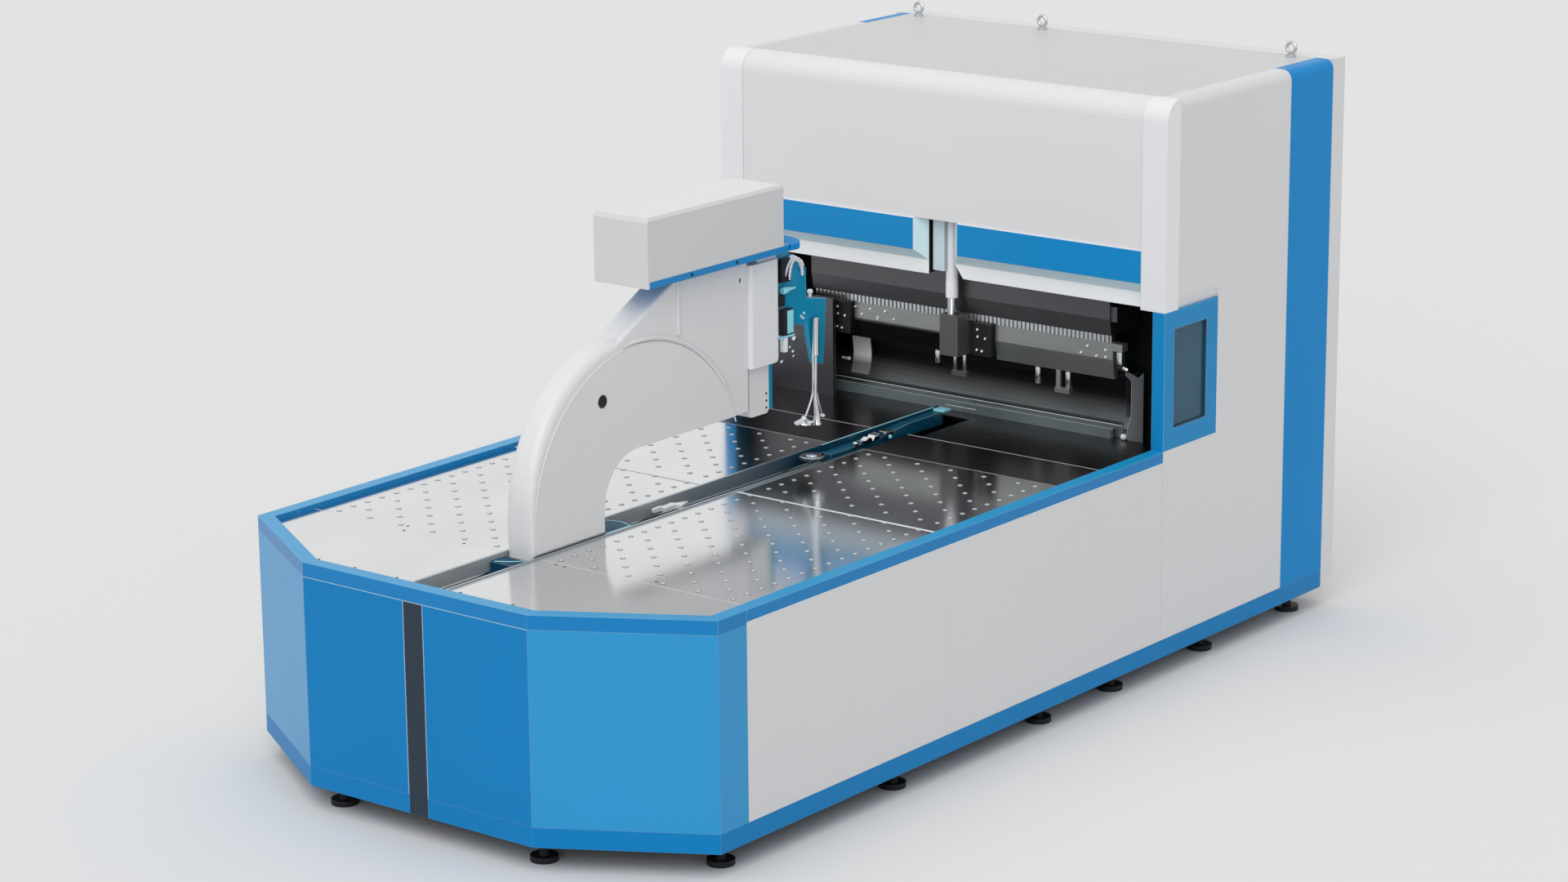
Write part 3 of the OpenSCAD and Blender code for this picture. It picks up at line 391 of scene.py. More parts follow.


# Table rim and plates
# Ground stainless plates that the sheet slides on, inside a painted rim. Rows of steel balls stand in
# cups pressed into the plates, their dark rings painted shade; the joints between the plates have polished chamfers,
# drawn as near-white painted reflection with a dark painted shadow beside them.
def machined_steel(name, colour, rough, marks=(40, 1.2, 40), depth=0.12, spread=0.08):
    """Ground or drawn steel, its marks along the axis that has the small number."""
    def build(place):
        mask, soft = edge_mask(place, 0.002)
        scratch = place.noise(6, 3, marks)
        patch = place.noise(2.2, 3)
        # Painted highlight: the edges take the bright tone through the edge mask.
        bright = tuple(min(1, c * 1.08) for c in colour[:3]) + (1,)
        dull = tuple(c * 0.9 for c in colour[:3]) + (1,)
        return {
            "Base Color": mask.blend(patch.blend(dull, bright), bright),
            "Roughness": scratch * spread + patch * spread + (rough - spread),
            "Normal": scratch.node("Bump", {"Strength": depth, "Distance": 0.0003, "Height": scratch, "Normal": soft}),
        }

    return finish(name, {"Metallic": 1.0}, build)




def rim_build(place):
    mask, soft = edge_mask(place, 0.004)
    upward = place.node("NewGeometry", output="Normal")
    level = upward.node("SeparateXYZ", {0: upward}, output="Z") > 0.7
    # Painted light: faces that look up are painted a lighter blue than the sides, and the edges take a pale painted
    # highlight.
    face = level.blend(srgb(2, 124, 190), srgb(18, 150, 206))
    return {
        "Base Color": mask.node("Mix", {0: mask, 6: face, 7: srgb(120, 200, 232)}, output=2, data_type="RGBA"),
        "Roughness": place.noise(6, 4) * 0.08 + 0.26,
        "Normal": soft,
    }


rim_paint = finish("rim_paint", {"IOR": 1.5, "Specular IOR Level": 0.3}, rim_build)
dress(rim_paint, "rim_front", "side_rims")
plate_steel = machined_steel("plate_steel", srgb(222, 223, 224), 0.13, depth=0.012, spread=0.03)
dress(plate_steel, "front_plate_left", "front_plate_right", "rear_plate_left", "rear_plate_right")
polished_steel = machined_steel("polished_steel", srgb(236, 238, 240), 0.16, depth=0.03)
# Dark grey for screws and the arm's foot seal, and as painted shade for the cups' rings round each ball and the strip
# beside each plate joint.
dark_metal_and_shade = powder_coat("dark_metal_and_shade", srgb(46, 50, 54), rough=0.4, edge=0.2)

PLATE_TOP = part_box("front_plate_left")[1].z
PLATE_INNER, PLATE_OUTER = 0.089, 1.137
COLUMN, COLUMN_PITCH, COLUMNS = 0.168, 0.0865, 11
BALL_ROWS = [(0.665, 0.084, 15, 0), (1.966, 0.0855, 9, 1)]
CUP_RADIUS, BALL_RADIUS = 0.0122, 0.0102
cups, balls = Shape(), Shape()
for first, pitch, rows, offset in BALL_ROWS:
    for row in range(rows):
        for column in range(COLUMNS):
            if column not in (0, COLUMNS - 1) and (row + column + offset) % 2:
                continue
            for side in (-1, 1):
                place = (side * (COLUMN + COLUMN_PITCH * column), first + pitch * row, PLATE_TOP)
                cups.turned([(CUP_RADIUS, -0.001), (CUP_RADIUS, 0.0004), (CUP_RADIUS - 0.0008, 0.0009),
                             (BALL_RADIUS + 0.0004, 0.0009), (BALL_RADIUS, 0.0002)], place, around=18)
                balls.turned([(BALL_RADIUS, 0.0), (BALL_RADIUS * 0.95, 0.0014), (BALL_RADIUS * 0.78, 0.0024),
                              (BALL_RADIUS * 0.4, 0.003), (0.0002, 0.0031)], place, around=14)
made("ball_cups", cups, dark_metal_and_shade, "machine", "stainless")
ball_nylon = powder_coat("ball_nylon", srgb(200, 202, 204), rough=0.3, cloud=0.08, edge=0.1)
made("transfer_balls", balls, ball_nylon, "machine", "bright_steel", turn=60)

JOINT_Y, ENTRY_Y = 1.854, 0.6285
joints, seams = Shape(), Shape()
for side in (-1, 1):
    ends = sorted((side * PLATE_INNER, side * PLATE_OUTER))
    joints.block((ends[0], JOINT_Y - 0.009, PLATE_TOP - 0.004), (ends[1], JOINT_Y + 0.006, PLATE_TOP + 0.0012), 0.0006)
    seams.block((ends[0], ENTRY_Y - 0.0012, PLATE_TOP - 0.003), (ends[1], ENTRY_Y + 0.0012, PLATE_TOP + 0.0004))
# Painted reflection: near-white strips for the gleam on the polished chamfers, used also for bright lines at the entry
# seams, the carrier and the counter blade.
painted_gleam_white = powder_coat("painted_gleam_white", srgb(240, 241, 242), rough=0.25, cloud=0.01, edge=0.1)
made("plate_joint_strips", joints, painted_gleam_white, "machine", "bright_steel")
# Painted shadow: a dark strip beside each joint strip.
joint_shadows = Shape()
for side in (-1, 1):
    ends = sorted((side * PLATE_INNER, side * PLATE_OUTER))
    joint_shadows.block((ends[0], JOINT_Y - 0.0125, PLATE_TOP - 0.004), (ends[1], JOINT_Y - 0.009, PLATE_TOP + 0.0003))
made("plate_joint_shadows", joint_shadows, dark_metal_and_shade, "machine", "tool_dark")
made("entry_seams", seams, painted_gleam_white, "machine", "bright_steel")

SCREW_PLACES = [(-0.607, 0.115), (-0.411, 0.115), (-0.187, 0.115), (0.145, 0.115), (0.411, 0.115), (0.607, 0.115),
                (-0.62, 0.611), (-0.298, 0.615), (0.19, 0.61), (0.236, 0.61), (0.652, 0.667), (-0.652, 0.667)]
plate_screws = Shape()
for x, y in SCREW_PLACES:
    plate_screws.turned([(0.0065, -0.001), (0.0065, 0.0006), (0.0055, 0.0011), (0.003, 0.0011), (0.0028, -0.0005)],
                        (x, y, PLATE_TOP), around=14)
made("plate_screws", plate_screws, dark_metal_and_shade, "machine", "tool_dark")


# Slot of the manipulator
# Two steel lips guide the arm. Their inner faces carry a rail each and are painted teal towards the
# tools, and small fittings of the sheet stops stand between them.
def lip_build(place):
    mask, soft = edge_mask(place, 0.002)
    split = place.node("SeparateXYZ", {0: place}, output="X")
    along = place.node("SeparateXYZ", {0: place}, output="Y")
    across = split.sum("ABSOLUTE", split)
    inside = (across < 0.0812) * (across > 0.0788)
    rear = along.node("MapRange", {"Value": along, "From Min": FRONT + 1.5, "From Max": FRONT + 2.5})
    patch = place.noise(5, 3, (1, 0.4, 1))
    steel = patch.blend(srgb(160, 170, 178), srgb(196, 202, 206))
    teal = patch.blend(srgb(8, 40, 54), srgb(14, 84, 116))
    lined = (inside * rear).node("Mix", {0: inside * rear, 6: steel, 7: teal}, output=2, data_type="RGBA")
    # Painted highlight: the lips' edges take a pale blue-grey.
    return {
        "Base Color": mask.node("Mix", {0: mask, 6: lined, 7: srgb(176, 196, 206)}, output=2, data_type="RGBA"),
        "Roughness": patch * 0.1 + 0.24,
        "Metallic": 1 - inside * 0.85,
        "Normal": soft,
    }


lip_steel = finish("lip_steel", {"IOR": 1.5}, lip_build)
dress(lip_steel, "guide_lips")

strip_steel = machined_steel("strip_steel", srgb(186, 190, 194), 0.3)
lip_strips = Shape()
for side in (-1, 1):
    near, far = sorted((side * 0.0885, side * 0.105))
    lip_strips.block((near, 0.13, PLATE_TOP - 0.001), (far, 2.705, PLATE_TOP + 0.001), 0.0006)
made("lip_strips", lip_strips, strip_steel, "machine", "stainless")

LIP_INNER = 0.08
rail_steel = machined_steel("rail_steel", srgb(168, 174, 180), 0.3)
slot_rails = Shape()
for side in (-1, 1):
    edge, inner = side * LIP_INNER, side * (LIP_INNER - 0.007)
    x0, x1 = min(edge, inner), max(edge, inner)
    slot_rails.prism([(x0, 0.9), (x1, 0.9), (x1, 0.938), ((x0 + x1) / 2, 0.944), (x0, 0.938)], 0.064, 3.0, "Y", 0.0012)
made("slot_rails", slot_rails, rail_steel, "machine", "stainless")


# Slot fittings
# Teal end boxes travel with the arm at both sides of its foot, and small bright stops and a round pad
# stand between the lips near the tools.
teal_paint = powder_coat("teal_paint", srgb(0, 142, 184), rough=0.28, shine=0.4, edge=0.3)
box_teal = powder_coat("box_teal", srgb(2, 62, 90), rough=0.45, shine=0.15, edge=0.35)
# Painted highlight: a pale cyan for lines along the teal boxes' edges, spots and a line by the sheet stops, and light
# on the bracket's valve.
cyan_highlight = powder_coat("cyan_highlight", srgb(150, 230, 244), rough=0.25, cloud=0.1)
pale_fitting = powder_coat("pale_fitting", srgb(232, 236, 242), rough=0.3, cloud=0.12, edge=0.3, peel=0.5)
slot_boxes = Shape()
slot_boxes.block((-0.0715, 1.05, 0.93), (0.0715, 1.2, 0.998), 0.004)
slot_boxes.prism([(1.2, 0.93), (1.263, 0.93), (1.263, 0.972), (1.225, 0.996), (1.2, 0.996)], -0.0715, 0.06, bevel=0.003)
slot_boxes.block((-0.0715, 0.517, 0.93), (0.0715, 0.605, 0.986), 0.004)
made("slot_boxes", slot_boxes, box_teal, "manipulator", "teal")
slot_lines = Shape()
slot_lines.tube([(-0.066, 1.056, 0.998), (0.02, 1.058, 0.9985), (0.066, 1.06, 0.997)], 0.0028)
slot_lines.tube([(0.068, 1.06, 0.997), (0.0705, 1.2, 0.997)], 0.0028)
slot_lines.tube([(-0.066, 1.2, 0.997), (0.0, 1.22, 0.996), (0.066, 1.2, 0.997)], 0.0022)
slot_lines.tube([(-0.05, 0.522, 0.988), (0.0, 0.55, 0.988), (0.046, 0.594, 0.988)], 0.002)
made("slot_box_edges", slot_lines, cyan_highlight, "manipulator", "teal")
crumple = Shape()
crumple.prism([(-0.05, 1.47), (-0.03, 1.467), (-0.034, 1.51), (-0.004, 1.504), (-0.01, 1.57), (0.018, 1.58),
               (-0.006, 1.655), (-0.028, 1.6), (-0.05, 1.59), (-0.04, 1.54), (-0.056, 1.52)], 0.97, 0.986, "Z", 0.003)
made("slot_fitting", crumple, pale_fitting, "manipulator", "white")

stops = Shape()
stops.prism([(2.82, 0.972), (2.9, 0.972), (2.895, 0.99), (2.87, 1.0), (2.845, 0.986), (2.82, 0.992)], -0.024, 0.004, bevel=0.004)
stops.prism([(2.91, 0.972), (2.965, 0.972), (2.96, 0.999), (2.93, 0.992)], -0.045, -0.005, bevel=0.004)
stops.block((-0.03, 2.985, 0.975), (0.012, 3.035, 0.9995), 0.004)
stops.turned([(0.012, 0.0), (0.012, 0.02), (0.006, 0.026)], (0.0, 2.78, 0.972))
made("slot_stops", stops, polished_steel, "machine", "bright_steel")
stop_carrier = Shape()
stop_carrier.block((-0.076, 2.62, 0.93), (-0.01, 3.06, 0.973), 0.004)
stop_carrier.prism([(3.05, 0.93), (3.46, 0.93), (3.46, 0.99), (3.2, 0.985), (3.05, 0.975)], -0.076, -0.03, bevel=0.005)
made("stop_carrier", stop_carrier, powder_coat("stop_teal", srgb(4, 76, 102), rough=0.4, edge=0.3), "machine", "teal")
# Painted highlights: a pale cyan spot at the end of the stop carrier, a glint on a small stop, and a line along the
# left lip's inner face.
stop_glints = Shape()
stop_glints.block((-0.07, 3.44, 0.988), (-0.01, 3.495, 0.9985), 0.003)
stop_glints.turned([(0.008, 0), (0.008, 0.01), (0.004, 0.014)], (0.03, 2.99, 0.975))
stop_glints.tube([(-0.0795, 2.64, 1.0), (-0.0795, 3.0, 1.0), (-0.0795, 3.46, 1.0)], 0.0024, around=8)
made("stop_glints", stop_glints, cyan_highlight, "machine", "teal")


# C-shaped arm
# A welded and ground steel shell, thick and round at the crown, that carries the clamp over the sheet.
# Its paint is a smooth white gloss. The two round covers are screwed on from inside the arm.
RIM_TOP = 1.015
DISC = Vector((1.268, 1.091))
DISC_R, CROWN_R = 0.641, 0.598
ARM_HALF, RIM_ROUND, NECK_ROUND = 0.066, 0.044, 0.012
FOOT_BACK, FOOT_Z, THROAT_Z, THROAT_R = 1.041, 0.975, 1.31, 0.213
NECK_ANGLE = math.radians(28.4)
NECK_TOP, CLAMP_Y = 1.964, 1.965
EDGE_SHIFT = Vector((-0.006, 0.019))
CROWN_SHIFT = Vector((CROWN_R - DISC_R - 0.015, 0.084))
NECK_START = DISC + (DISC_R + 0.022) * Vector((math.cos(math.radians(104.2)), math.sin(math.radians(104.2))))


def arc(centre, radius, start, end, steps):
    turns = [start + (end - start) * i / steps for i in range(steps + 1)]
    return [(centre[0] + radius * math.cos(a), centre[1] + radius * math.sin(a)) for a in turns]


def arm_outline(depth):
    """The arm's side outline at a depth in from its face, with the crown rounded towards the middle."""
    def rounded(radius):
        return 1.0 if depth >= radius else math.sqrt(max(0.0, 1 - (1 - depth / radius) ** 2))
    swell = rounded(RIM_ROUND)
    inset = NECK_ROUND * (1 - rounded(NECK_ROUND))
    radius = DISC_R - 0.005 - swell * (DISC_R - 0.005 - CROWN_R)
    centre = DISC + EDGE_SHIFT + swell * (CROWN_SHIFT - EDGE_SHIFT)
    start = NECK_START + inset * Vector((math.sin(NECK_ANGLE), -math.cos(NECK_ANGLE)))
    gap = (start - centre).dot(Vector((-math.sin(NECK_ANGLE), math.cos(NECK_ANGLE))))
    meet = math.pi / 2 + NECK_ANGLE - math.acos(min(1, gap / radius))
    return (
        [(FOOT_BACK, FOOT_Z), (centre[0] - radius, FOOT_Z)] + arc(centre, radius, math.pi, meet, 48)
        + [(start[0] + (NECK_TOP - start[1]) / math.tan(NECK_ANGLE), NECK_TOP), (CLAMP_Y, NECK_TOP), (CLAMP_Y, THROAT_Z)]
        + arc((FOOT_BACK + THROAT_R, THROAT_Z - THROAT_R), THROAT_R, math.pi / 2, math.pi, 20)
    )


white_gloss = powder_coat("white_gloss", srgb(222, 222, 223), rough=0.27, cloud=0.012, edge=0.1, peel=0.025)
dress(white_gloss, "arm_discs", "clamp_ram")
arm_shell = Shape()
ROUND_STEPS = 12
depths = [RIM_ROUND * (1 - math.cos(math.pi / 2 * i / ROUND_STEPS)) for i in range(ROUND_STEPS + 1)]
levels = [(-ARM_HALF + d, d) for d in depths] + [(ARM_HALF - d, d) for d in reversed(depths)]
arm_shell.skin([[(x, *pair) for pair in arm_outline(depth)] for x, depth in levels])
made("arm_shell", arm_shell, white_gloss, "manipulator", "white", ["arm_body"], turn=28)

ridges = Shape()
for side in (-1, 1):
    for start, end in ((28, 98),):
        path = arc(DISC, DISC_R + 0.014, math.radians(start), math.radians(end), 16)
        ridges.tube([(side * ARM_HALF, *pair) for pair in path], lambda t: 0.0105 * math.sin(math.pi * min(1, 8 * t, 8 * (1 - t)) / 2) + 0.0005, steps=3)
    path = arc(DISC, DISC_R - 0.002, math.radians(18), math.radians(172), 30)
    ridges.tube([(side * (ARM_HALF + 0.0045), *pair) for pair in path], 0.003, around=8, steps=2)
    ridges.tube([(side * ARM_HALF, 1.52, z) for z in (1.73, 1.8, 1.88, 1.96)], 0.0105)
made("arm_ridges", ridges, white_gloss, "manipulator", "white", turn=60)

# Painted shade: a black disc sunk in each cover's hole stands for the hole's dark depth; a small black slot and screw
# sit on the neck.
arm_hole_shade_and_marks = Shape()
for side in (-1, 1):
    arm_hole_shade_and_marks.turned([(0.0268, -0.006), (0.0268, 0.001), (0.0245, 0.0035), (0.0225, 0.0005), (0.001, -0.0005)],
                     (side * (ARM_HALF + 0.0045), 1.042, 1.542), (side, 0, 0), 32)
    arm_hole_shade_and_marks.block((side * ARM_HALF - 0.0008, 1.914, 1.864), (side * ARM_HALF + 0.0008, 1.922, 1.882), 0.0003)
    arm_hole_shade_and_marks.turned([(0.004, 0), (0.004, 0.001), (0.003, 0.0015)], (side * ARM_HALF, 1.935, 1.948), (side, 0, 0), 12)
made("arm_hole_shade_and_marks", arm_hole_shade_and_marks, black_paint, "manipulator", "black")
arm_foot = Shape()
arm_foot.block((-ARM_HALF - 0.003, 0.621, 0.9965), (ARM_HALF + 0.003, FOOT_BACK + 0.002, 1.0005), 0.001)
made("arm_foot_seal", arm_foot, dark_metal_and_shade, "manipulator", "black")


# Drive cover on its base plate
# A folded cover over the clamp's drive, in the same white paint, on a blue plate held by cap screws. Its top is painted
# lighter than its sides as painted light.
white_paint = powder_coat("white_paint", srgb(230, 231, 233), cloud=0.015)


def cover_build(place):
    mask, soft = edge_mask(place, 0.0035)
    upward = place.node("NewGeometry", output="Normal")
    level = upward.node("SeparateXYZ", {0: upward}, output="Z") > 0.7
    # Painted light: faces that look up are painted lighter than the sides, and the edges paler still as a painted
    # highlight.
    face = level.blend(srgb(208, 209, 210), srgb(223, 224, 225))
    return {
        "Base Color": mask.blend(face, srgb(240, 241, 242)),
        "Roughness": place.noise(6, 4) * 0.08 + 0.34,
        "Normal": soft,
    }


cover_paint = finish("cover_paint", {"IOR": 1.5}, cover_build)
dress(cover_paint, "drive_cover")
dress(black_paint, "arm_carriage")
plate_paint = powder_coat("plate_paint", srgb(2, 130, 196), rough=0.3, shine=0.3, edge=0.15)
dress(plate_paint, "drive_base_plate")
dark_steel = machined_steel("dark_steel", srgb(72, 76, 82), 0.35)
base_screws = Shape()
for side in (-1, 1):
    for y in (1.523, 1.81):
        base_screws.screw((side * 0.14, y, 1.978), (side, 0, 0), 0.006)
for x, y in ((-0.09, 2.16), (0.09, 2.16), (0.0, 2.2)):
    base_screws.screw((x, y, 1.992), (0, 0, 1), 0.007)
for side in (-1, 1):
    base_screws.screw((side * 0.075, 2.05, 1.9635), (0, 0, -1), 0.006)
made("base_plate_screws", base_screws, dark_steel, "manipulator", "tool_dark")
PLATE_HALF, NOSE_Y, NOSE_REACH = 0.1406, 2.205, 0.082
nose_angles = [math.pi * i / 24 for i in range(25)]
nose = Shape()
nose.prism([(-PLATE_HALF, 2.17), (PLATE_HALF, 2.17)]
           + [(PLATE_HALF * math.cos(a), NOSE_Y + NOSE_REACH * math.sin(a)) for a in nose_angles],
           1.9635, 1.9926, "Z", 0.005, 3)
nose_paint = powder_coat("nose_paint", srgb(4, 134, 204), rough=0.45, shine=0.1, edge=0.15)
made("base_plate_nose", nose, nose_paint, "manipulator", "blue")


# Clamp housing and ram
# Folded housing over the ram's guide, with a welded collar under the base plate. A teal guide bar
# runs behind the ram, and small adjusting screws show at the ram's lower end.
dress(white_paint, "clamp_housing")
clamp_edges = Shape()
for side in (-1, 1):
    clamp_edges.tube([(side * 0.0845, 2.108, z) for z in (1.495, 1.6, 1.75, 1.925)], 0.0018, around=6, steps=1)
    clamp_edges.screw((side * 0.0845, 1.99, 1.9), (side, 0, 0), 0.005)
made("clamp_housing_crease", clamp_edges, white_gloss, "manipulator", "white")
guide_bar = Shape()
guide_bar.block((-0.05, 2.1155, 1.286), (0.05, 2.145, 1.79), 0.002)
made("ram_guide_bar", guide_bar, teal_paint, "clamp", "teal")
ram_screws = Shape()
for z in (1.30, 1.33, 1.36):
    ram_screws.screw((0.055, 2.096, z), (1, 0, 0), 0.0045)
for side in (-1, 1):
    ram_screws.screw((side * 0.03, 2.05, 1.2752), (0, 0, -1), 0.008)
made("ram_screws", ram_screws, dark_steel, "clamp", "tool_dark")


# Bracket and press rod
# A teal plate behind the clamp carries a valve, its hoses and a chromed sleeve. The rod in the sleeve
# forks to three bright press feet that hold narrow sheets.
bracket = Shape()
bracket.prism([(2.1552, 1.964), (2.1552, 1.69), (2.292, 1.69), (2.292, 1.612), (2.426, 1.586), (2.475, 1.407),
               (2.543, 1.394), (2.567, 1.674), (2.429, 1.699), (2.429, 1.83), (2.345, 1.877), (2.3, 1.93), (2.262, 1.9638)],
              -0.01, 0.01, bevel=0.0012)
made("bracket_plate", bracket, teal_paint, "manipulator", "teal", ["rod_bracket"])
chrome = machined_steel("chrome", srgb(206, 208, 210), 0.12, depth=0.03, spread=0.03)
press_rod = Shape()
press_rod.turned([(0.0135, 0.0), (0.016, 0.003), (0.016, 0.163), (0.0135, 0.166), (0.0005, 0.166)], (0.026, 2.47, 1.445))
press_rod.tube([(0.026, 2.47, 1.45), (0.026, 2.467, 1.33), (0.027, 2.466, 1.265), (0.031, 2.47, 1.2), (0.032, 2.47, 1.16)],
               lambda t: 0.0085 + 0.0095 * max(0, (t - 0.45) / 0.55) ** 1.5, around=14)
press_rod.tube([(0.024, 2.455, 1.45), (0.025, 2.454, 1.34), (0.024, 2.447, 1.27), (0.019, 2.405, 1.186)], 0.0045)
press_rod.tube([(0.028, 2.472, 1.3), (0.028, 2.488, 1.24), (0.026, 2.514, 1.178)], 0.0032)
press_rod.turned([(0.041, 0.0), (0.043, 0.004), (0.041, 0.009), (0.027, 0.015), (0.014, 0.022), (0.008, 0.034), (0.001, 0.036)],
                 (0.018, 2.398, 1.161), around=28)
press_rod.turned([(0.02, 0.0), (0.0215, 0.003), (0.0205, 0.008), (0.0175, 0.012), (0.0165, 0.02)], (0.032, 2.47, 1.145), around=24)
press_rod.turned([(0.0135, 0.0), (0.0142, 0.003), (0.011, 0.008), (0.004, 0.012)], (0.026, 2.516, 1.171))
made("press_rod_and_feet", press_rod, chrome, "manipulator", "chrome", ["press_rod"])

PLATE_FACE = 0.0105
valve = Shape()
valve.block((PLATE_FACE, 2.24, 1.572), (0.04, 2.304, 1.684), 0.003)
valve.block((PLATE_FACE, 2.225, 1.7), (0.03, 2.262, 1.746), 0.003)
valve.block((PLATE_FACE, 2.235, 1.80), (0.034, 2.30, 1.9), 0.004)
made("bracket_valve", valve, black_paint, "manipulator", "black")
# Painted highlight: pale cyan on the valve's side face, on a fitting above it and on a strip below it.
valve_side = Shape()
valve_side.block((0.0395, 2.262, 1.58), (0.0415, 2.303, 1.678), 0.0005)
valve_side.turned([(0.012, 0), (0.015, 0.006), (0.015, 0.024), (0.009, 0.05), (0.004, 0.092), (0.001, 0.096)],
                  (0.026, 2.244, 1.764), (0, 1, 0))
valve_side.block((0.012, 2.21, 1.566), (0.044, 2.308, 1.574), 0.001)
made("bracket_fitting", valve_side, cyan_highlight, "manipulator", "teal")
hoses = Shape()
HOSE_ROUTES = [
    [(0.024, 2.262, 1.838), (0.03, 2.285, 1.875), (0.026, 2.306, 1.9), (0.026, 2.345, 1.888), (0.018, 2.39, 1.862), (0.0, 2.412, 1.842)],
    [(0.03, 2.289, 1.807), (0.034, 2.287, 1.835), (0.034, 2.3, 1.87), (0.03, 2.325, 1.886), (0.024, 2.36, 1.872), (0.016, 2.4, 1.845)],
    [(0.028, 2.262, 1.826), (0.032, 2.272, 1.86), (0.03, 2.295, 1.888), (0.022, 2.33, 1.898)],
    [(0.012, 2.38, 1.858), (0.019, 2.388, 1.835), (0.0135, 2.398, 1.805)],
]
for route in HOSE_ROUTES:
    hoses.tube(route, lambda t: 0.0068 + 0.001 * math.sin(60 * t), around=12, steps=12)
hoses.turned([(0.015, 0), (0.016, 0.004), (0.016, 0.06), (0.012, 0.069)], (0.028, 2.254, 1.504))
hoses.turned([(0.007, 0), (0.007, 0.014), (0.012, 0.018), (0.012, 0.028), (0.009, 0.032)], (0.0, 2.468, 1.696))
for y, z in ((2.392, 1.628), (2.405, 1.618), (2.412, 1.638)):
    hoses.turned([(0.006, 0), (0.006, 0.005), (0.004, 0.007)], (PLATE_FACE - 0.003, y, z), (1, 0, 0), 12)
made("bracket_hoses", hoses, pale_fitting, "manipulator", "chrome")


# Press beam and its tools
# Blackened beam with a row of ground segments. Forged tool plates hang on it by cap screws, with black
# clamp blocks, bright pins under them and a pull knob on a tube at the right end.
beam_steel = machined_steel("beam_steel", srgb(104, 103, 106), 0.42, marks=(1.2, 40, 40))
dress(beam_steel, "press_beam", "slide_rails", "left_end_frame")
block_grey = powder_coat("block_grey", srgb(84, 82, 84), rough=0.42, edge=0.15)
dress(block_grey, "centre_block")
PLATE_FOLD_Z, LEFT_PLATE_END = 1.327, -0.05


def tool_plate_build(place):
    mask, soft = edge_mask(place, 0.002)
    across = place.node("SeparateXYZ", {0: place}, output="X")
    height = place.node("SeparateXYZ", {0: place}, output="Z")
    scratch = place.noise(6, 3, (1.2, 40, 40))
    upper = height.node("MapRange", {"Value": height, "From Min": PLATE_FOLD_Z - 0.012, "From Max": PLATE_FOLD_Z + 0.004})
    # Painted shade and light: below the fold the left plate is painted near black and the right one light grey; the
    # edges take a painted highlight.
    right = across > LEFT_PLATE_END
    lower = right.blend(srgb(26, 27, 27), srgb(150, 153, 148))
    ground = scratch.blend(srgb(146, 150, 146), srgb(170, 172, 168))
    return {
        "Base Color": mask.blend(upper.blend(lower, ground), srgb(176, 178, 176)),
        "Roughness": scratch * 0.1 + 0.3,
        "Normal": scratch.node("Bump", {"Strength": 0.1, "Distance": 0.0003, "Height": scratch, "Normal": soft}),
    }


dress(finish("tool_plate_steel", {"Metallic": 0.8}, tool_plate_build), "tool_plates")
segment_steel = machined_steel("segment_steel", srgb(206, 208, 210), 0.25, marks=(40, 40, 1.2))
dress(segment_steel, "upper_tools", "lifting_eyes")
dress(black_paint, "clamp_blocks")

TOOL_FACE, TOOL_STEP, BLOCK_FACE, FRAME_FACE = 3.54, 3.556, 3.512, 3.472
TOWARDS_FEED = (0, -1, 0)
tool_screws = Shape()
for x, z in ((0.653, 1.341), (0.686, 1.374), (0.734, 1.337), (0.781, 1.369), (0.782, 1.338), 
             (-0.41, 1.379), (-0.54, 1.35), (-0.452, 1.347), (-0.361, 1.348), (-0.452, 1.338), (-0.578, 1.379),
             (-0.494, 1.379)):
    tool_screws.screw((x, TOOL_FACE, z), TOWARDS_FEED, 0.0065)
for x in (-0.687, 0.091):
    for dx, z in ((0.03, 1.374), (0.032, 1.342), (0.072, 1.338), (0.028, 1.282), (0.055, 1.279)):
        tool_screws.screw((x + dx, BLOCK_FACE, z), TOWARDS_FEED, 0.0065)
made("tool_screws", tool_screws, polished_steel, "press", "bright_steel")
frame_screws = Shape()
for x, z, r in ((-0.876, 1.203, 0.011), (-0.902, 1.158, 0.006), (-0.884, 1.14, 0.007), (-0.882, 1.118, 0.006),
                (-0.95, 1.081, 0.009)):
    frame_screws.screw((x, FRAME_FACE, z), TOWARDS_FEED, r)
made("end_frame_screws", frame_screws, polished_steel, "machine", "bright_steel")
pins = Shape()
for x in (-0.135, 0.41, 0.57):
    pins.turned([(0.0146, 0), (0.0152, 0.002), (0.0152, 0.055), (0.0146, 0.057)], (x, 3.569, 1.178), around=24)
for x in (-0.02, 0.032):
    pins.turned([(0.0094, 0), (0.0098, 0.002), (0.0098, 0.05), (0.0094, 0.052)], (x, 3.54, 1.19))
pins.turned([(0.0204, 0), (0.0208, 0.002), (0.0208, 0.05), (0.0204, 0.052)], (0.842, 3.566, 1.312), around=28)
pins.turned([(0.006, 0), (0.006, 0.012), (0.013, 0.02), (0.013, 0.04), (0.008, 0.048)], (0.842, 3.566, 1.3), (0.72, -0.1, -0.2))
made("tool_pins", pins, chrome, "press", "chrome")
knob = Shape()
knob.turned([(0.012, 0), (0.017, 0.006), (0.019, 0.018), (0.013, 0.03), (0.004, 0.034)], (0.842, 3.566, 1.278), around=24)
made("pull_knob", knob, black_paint, "press", "black")


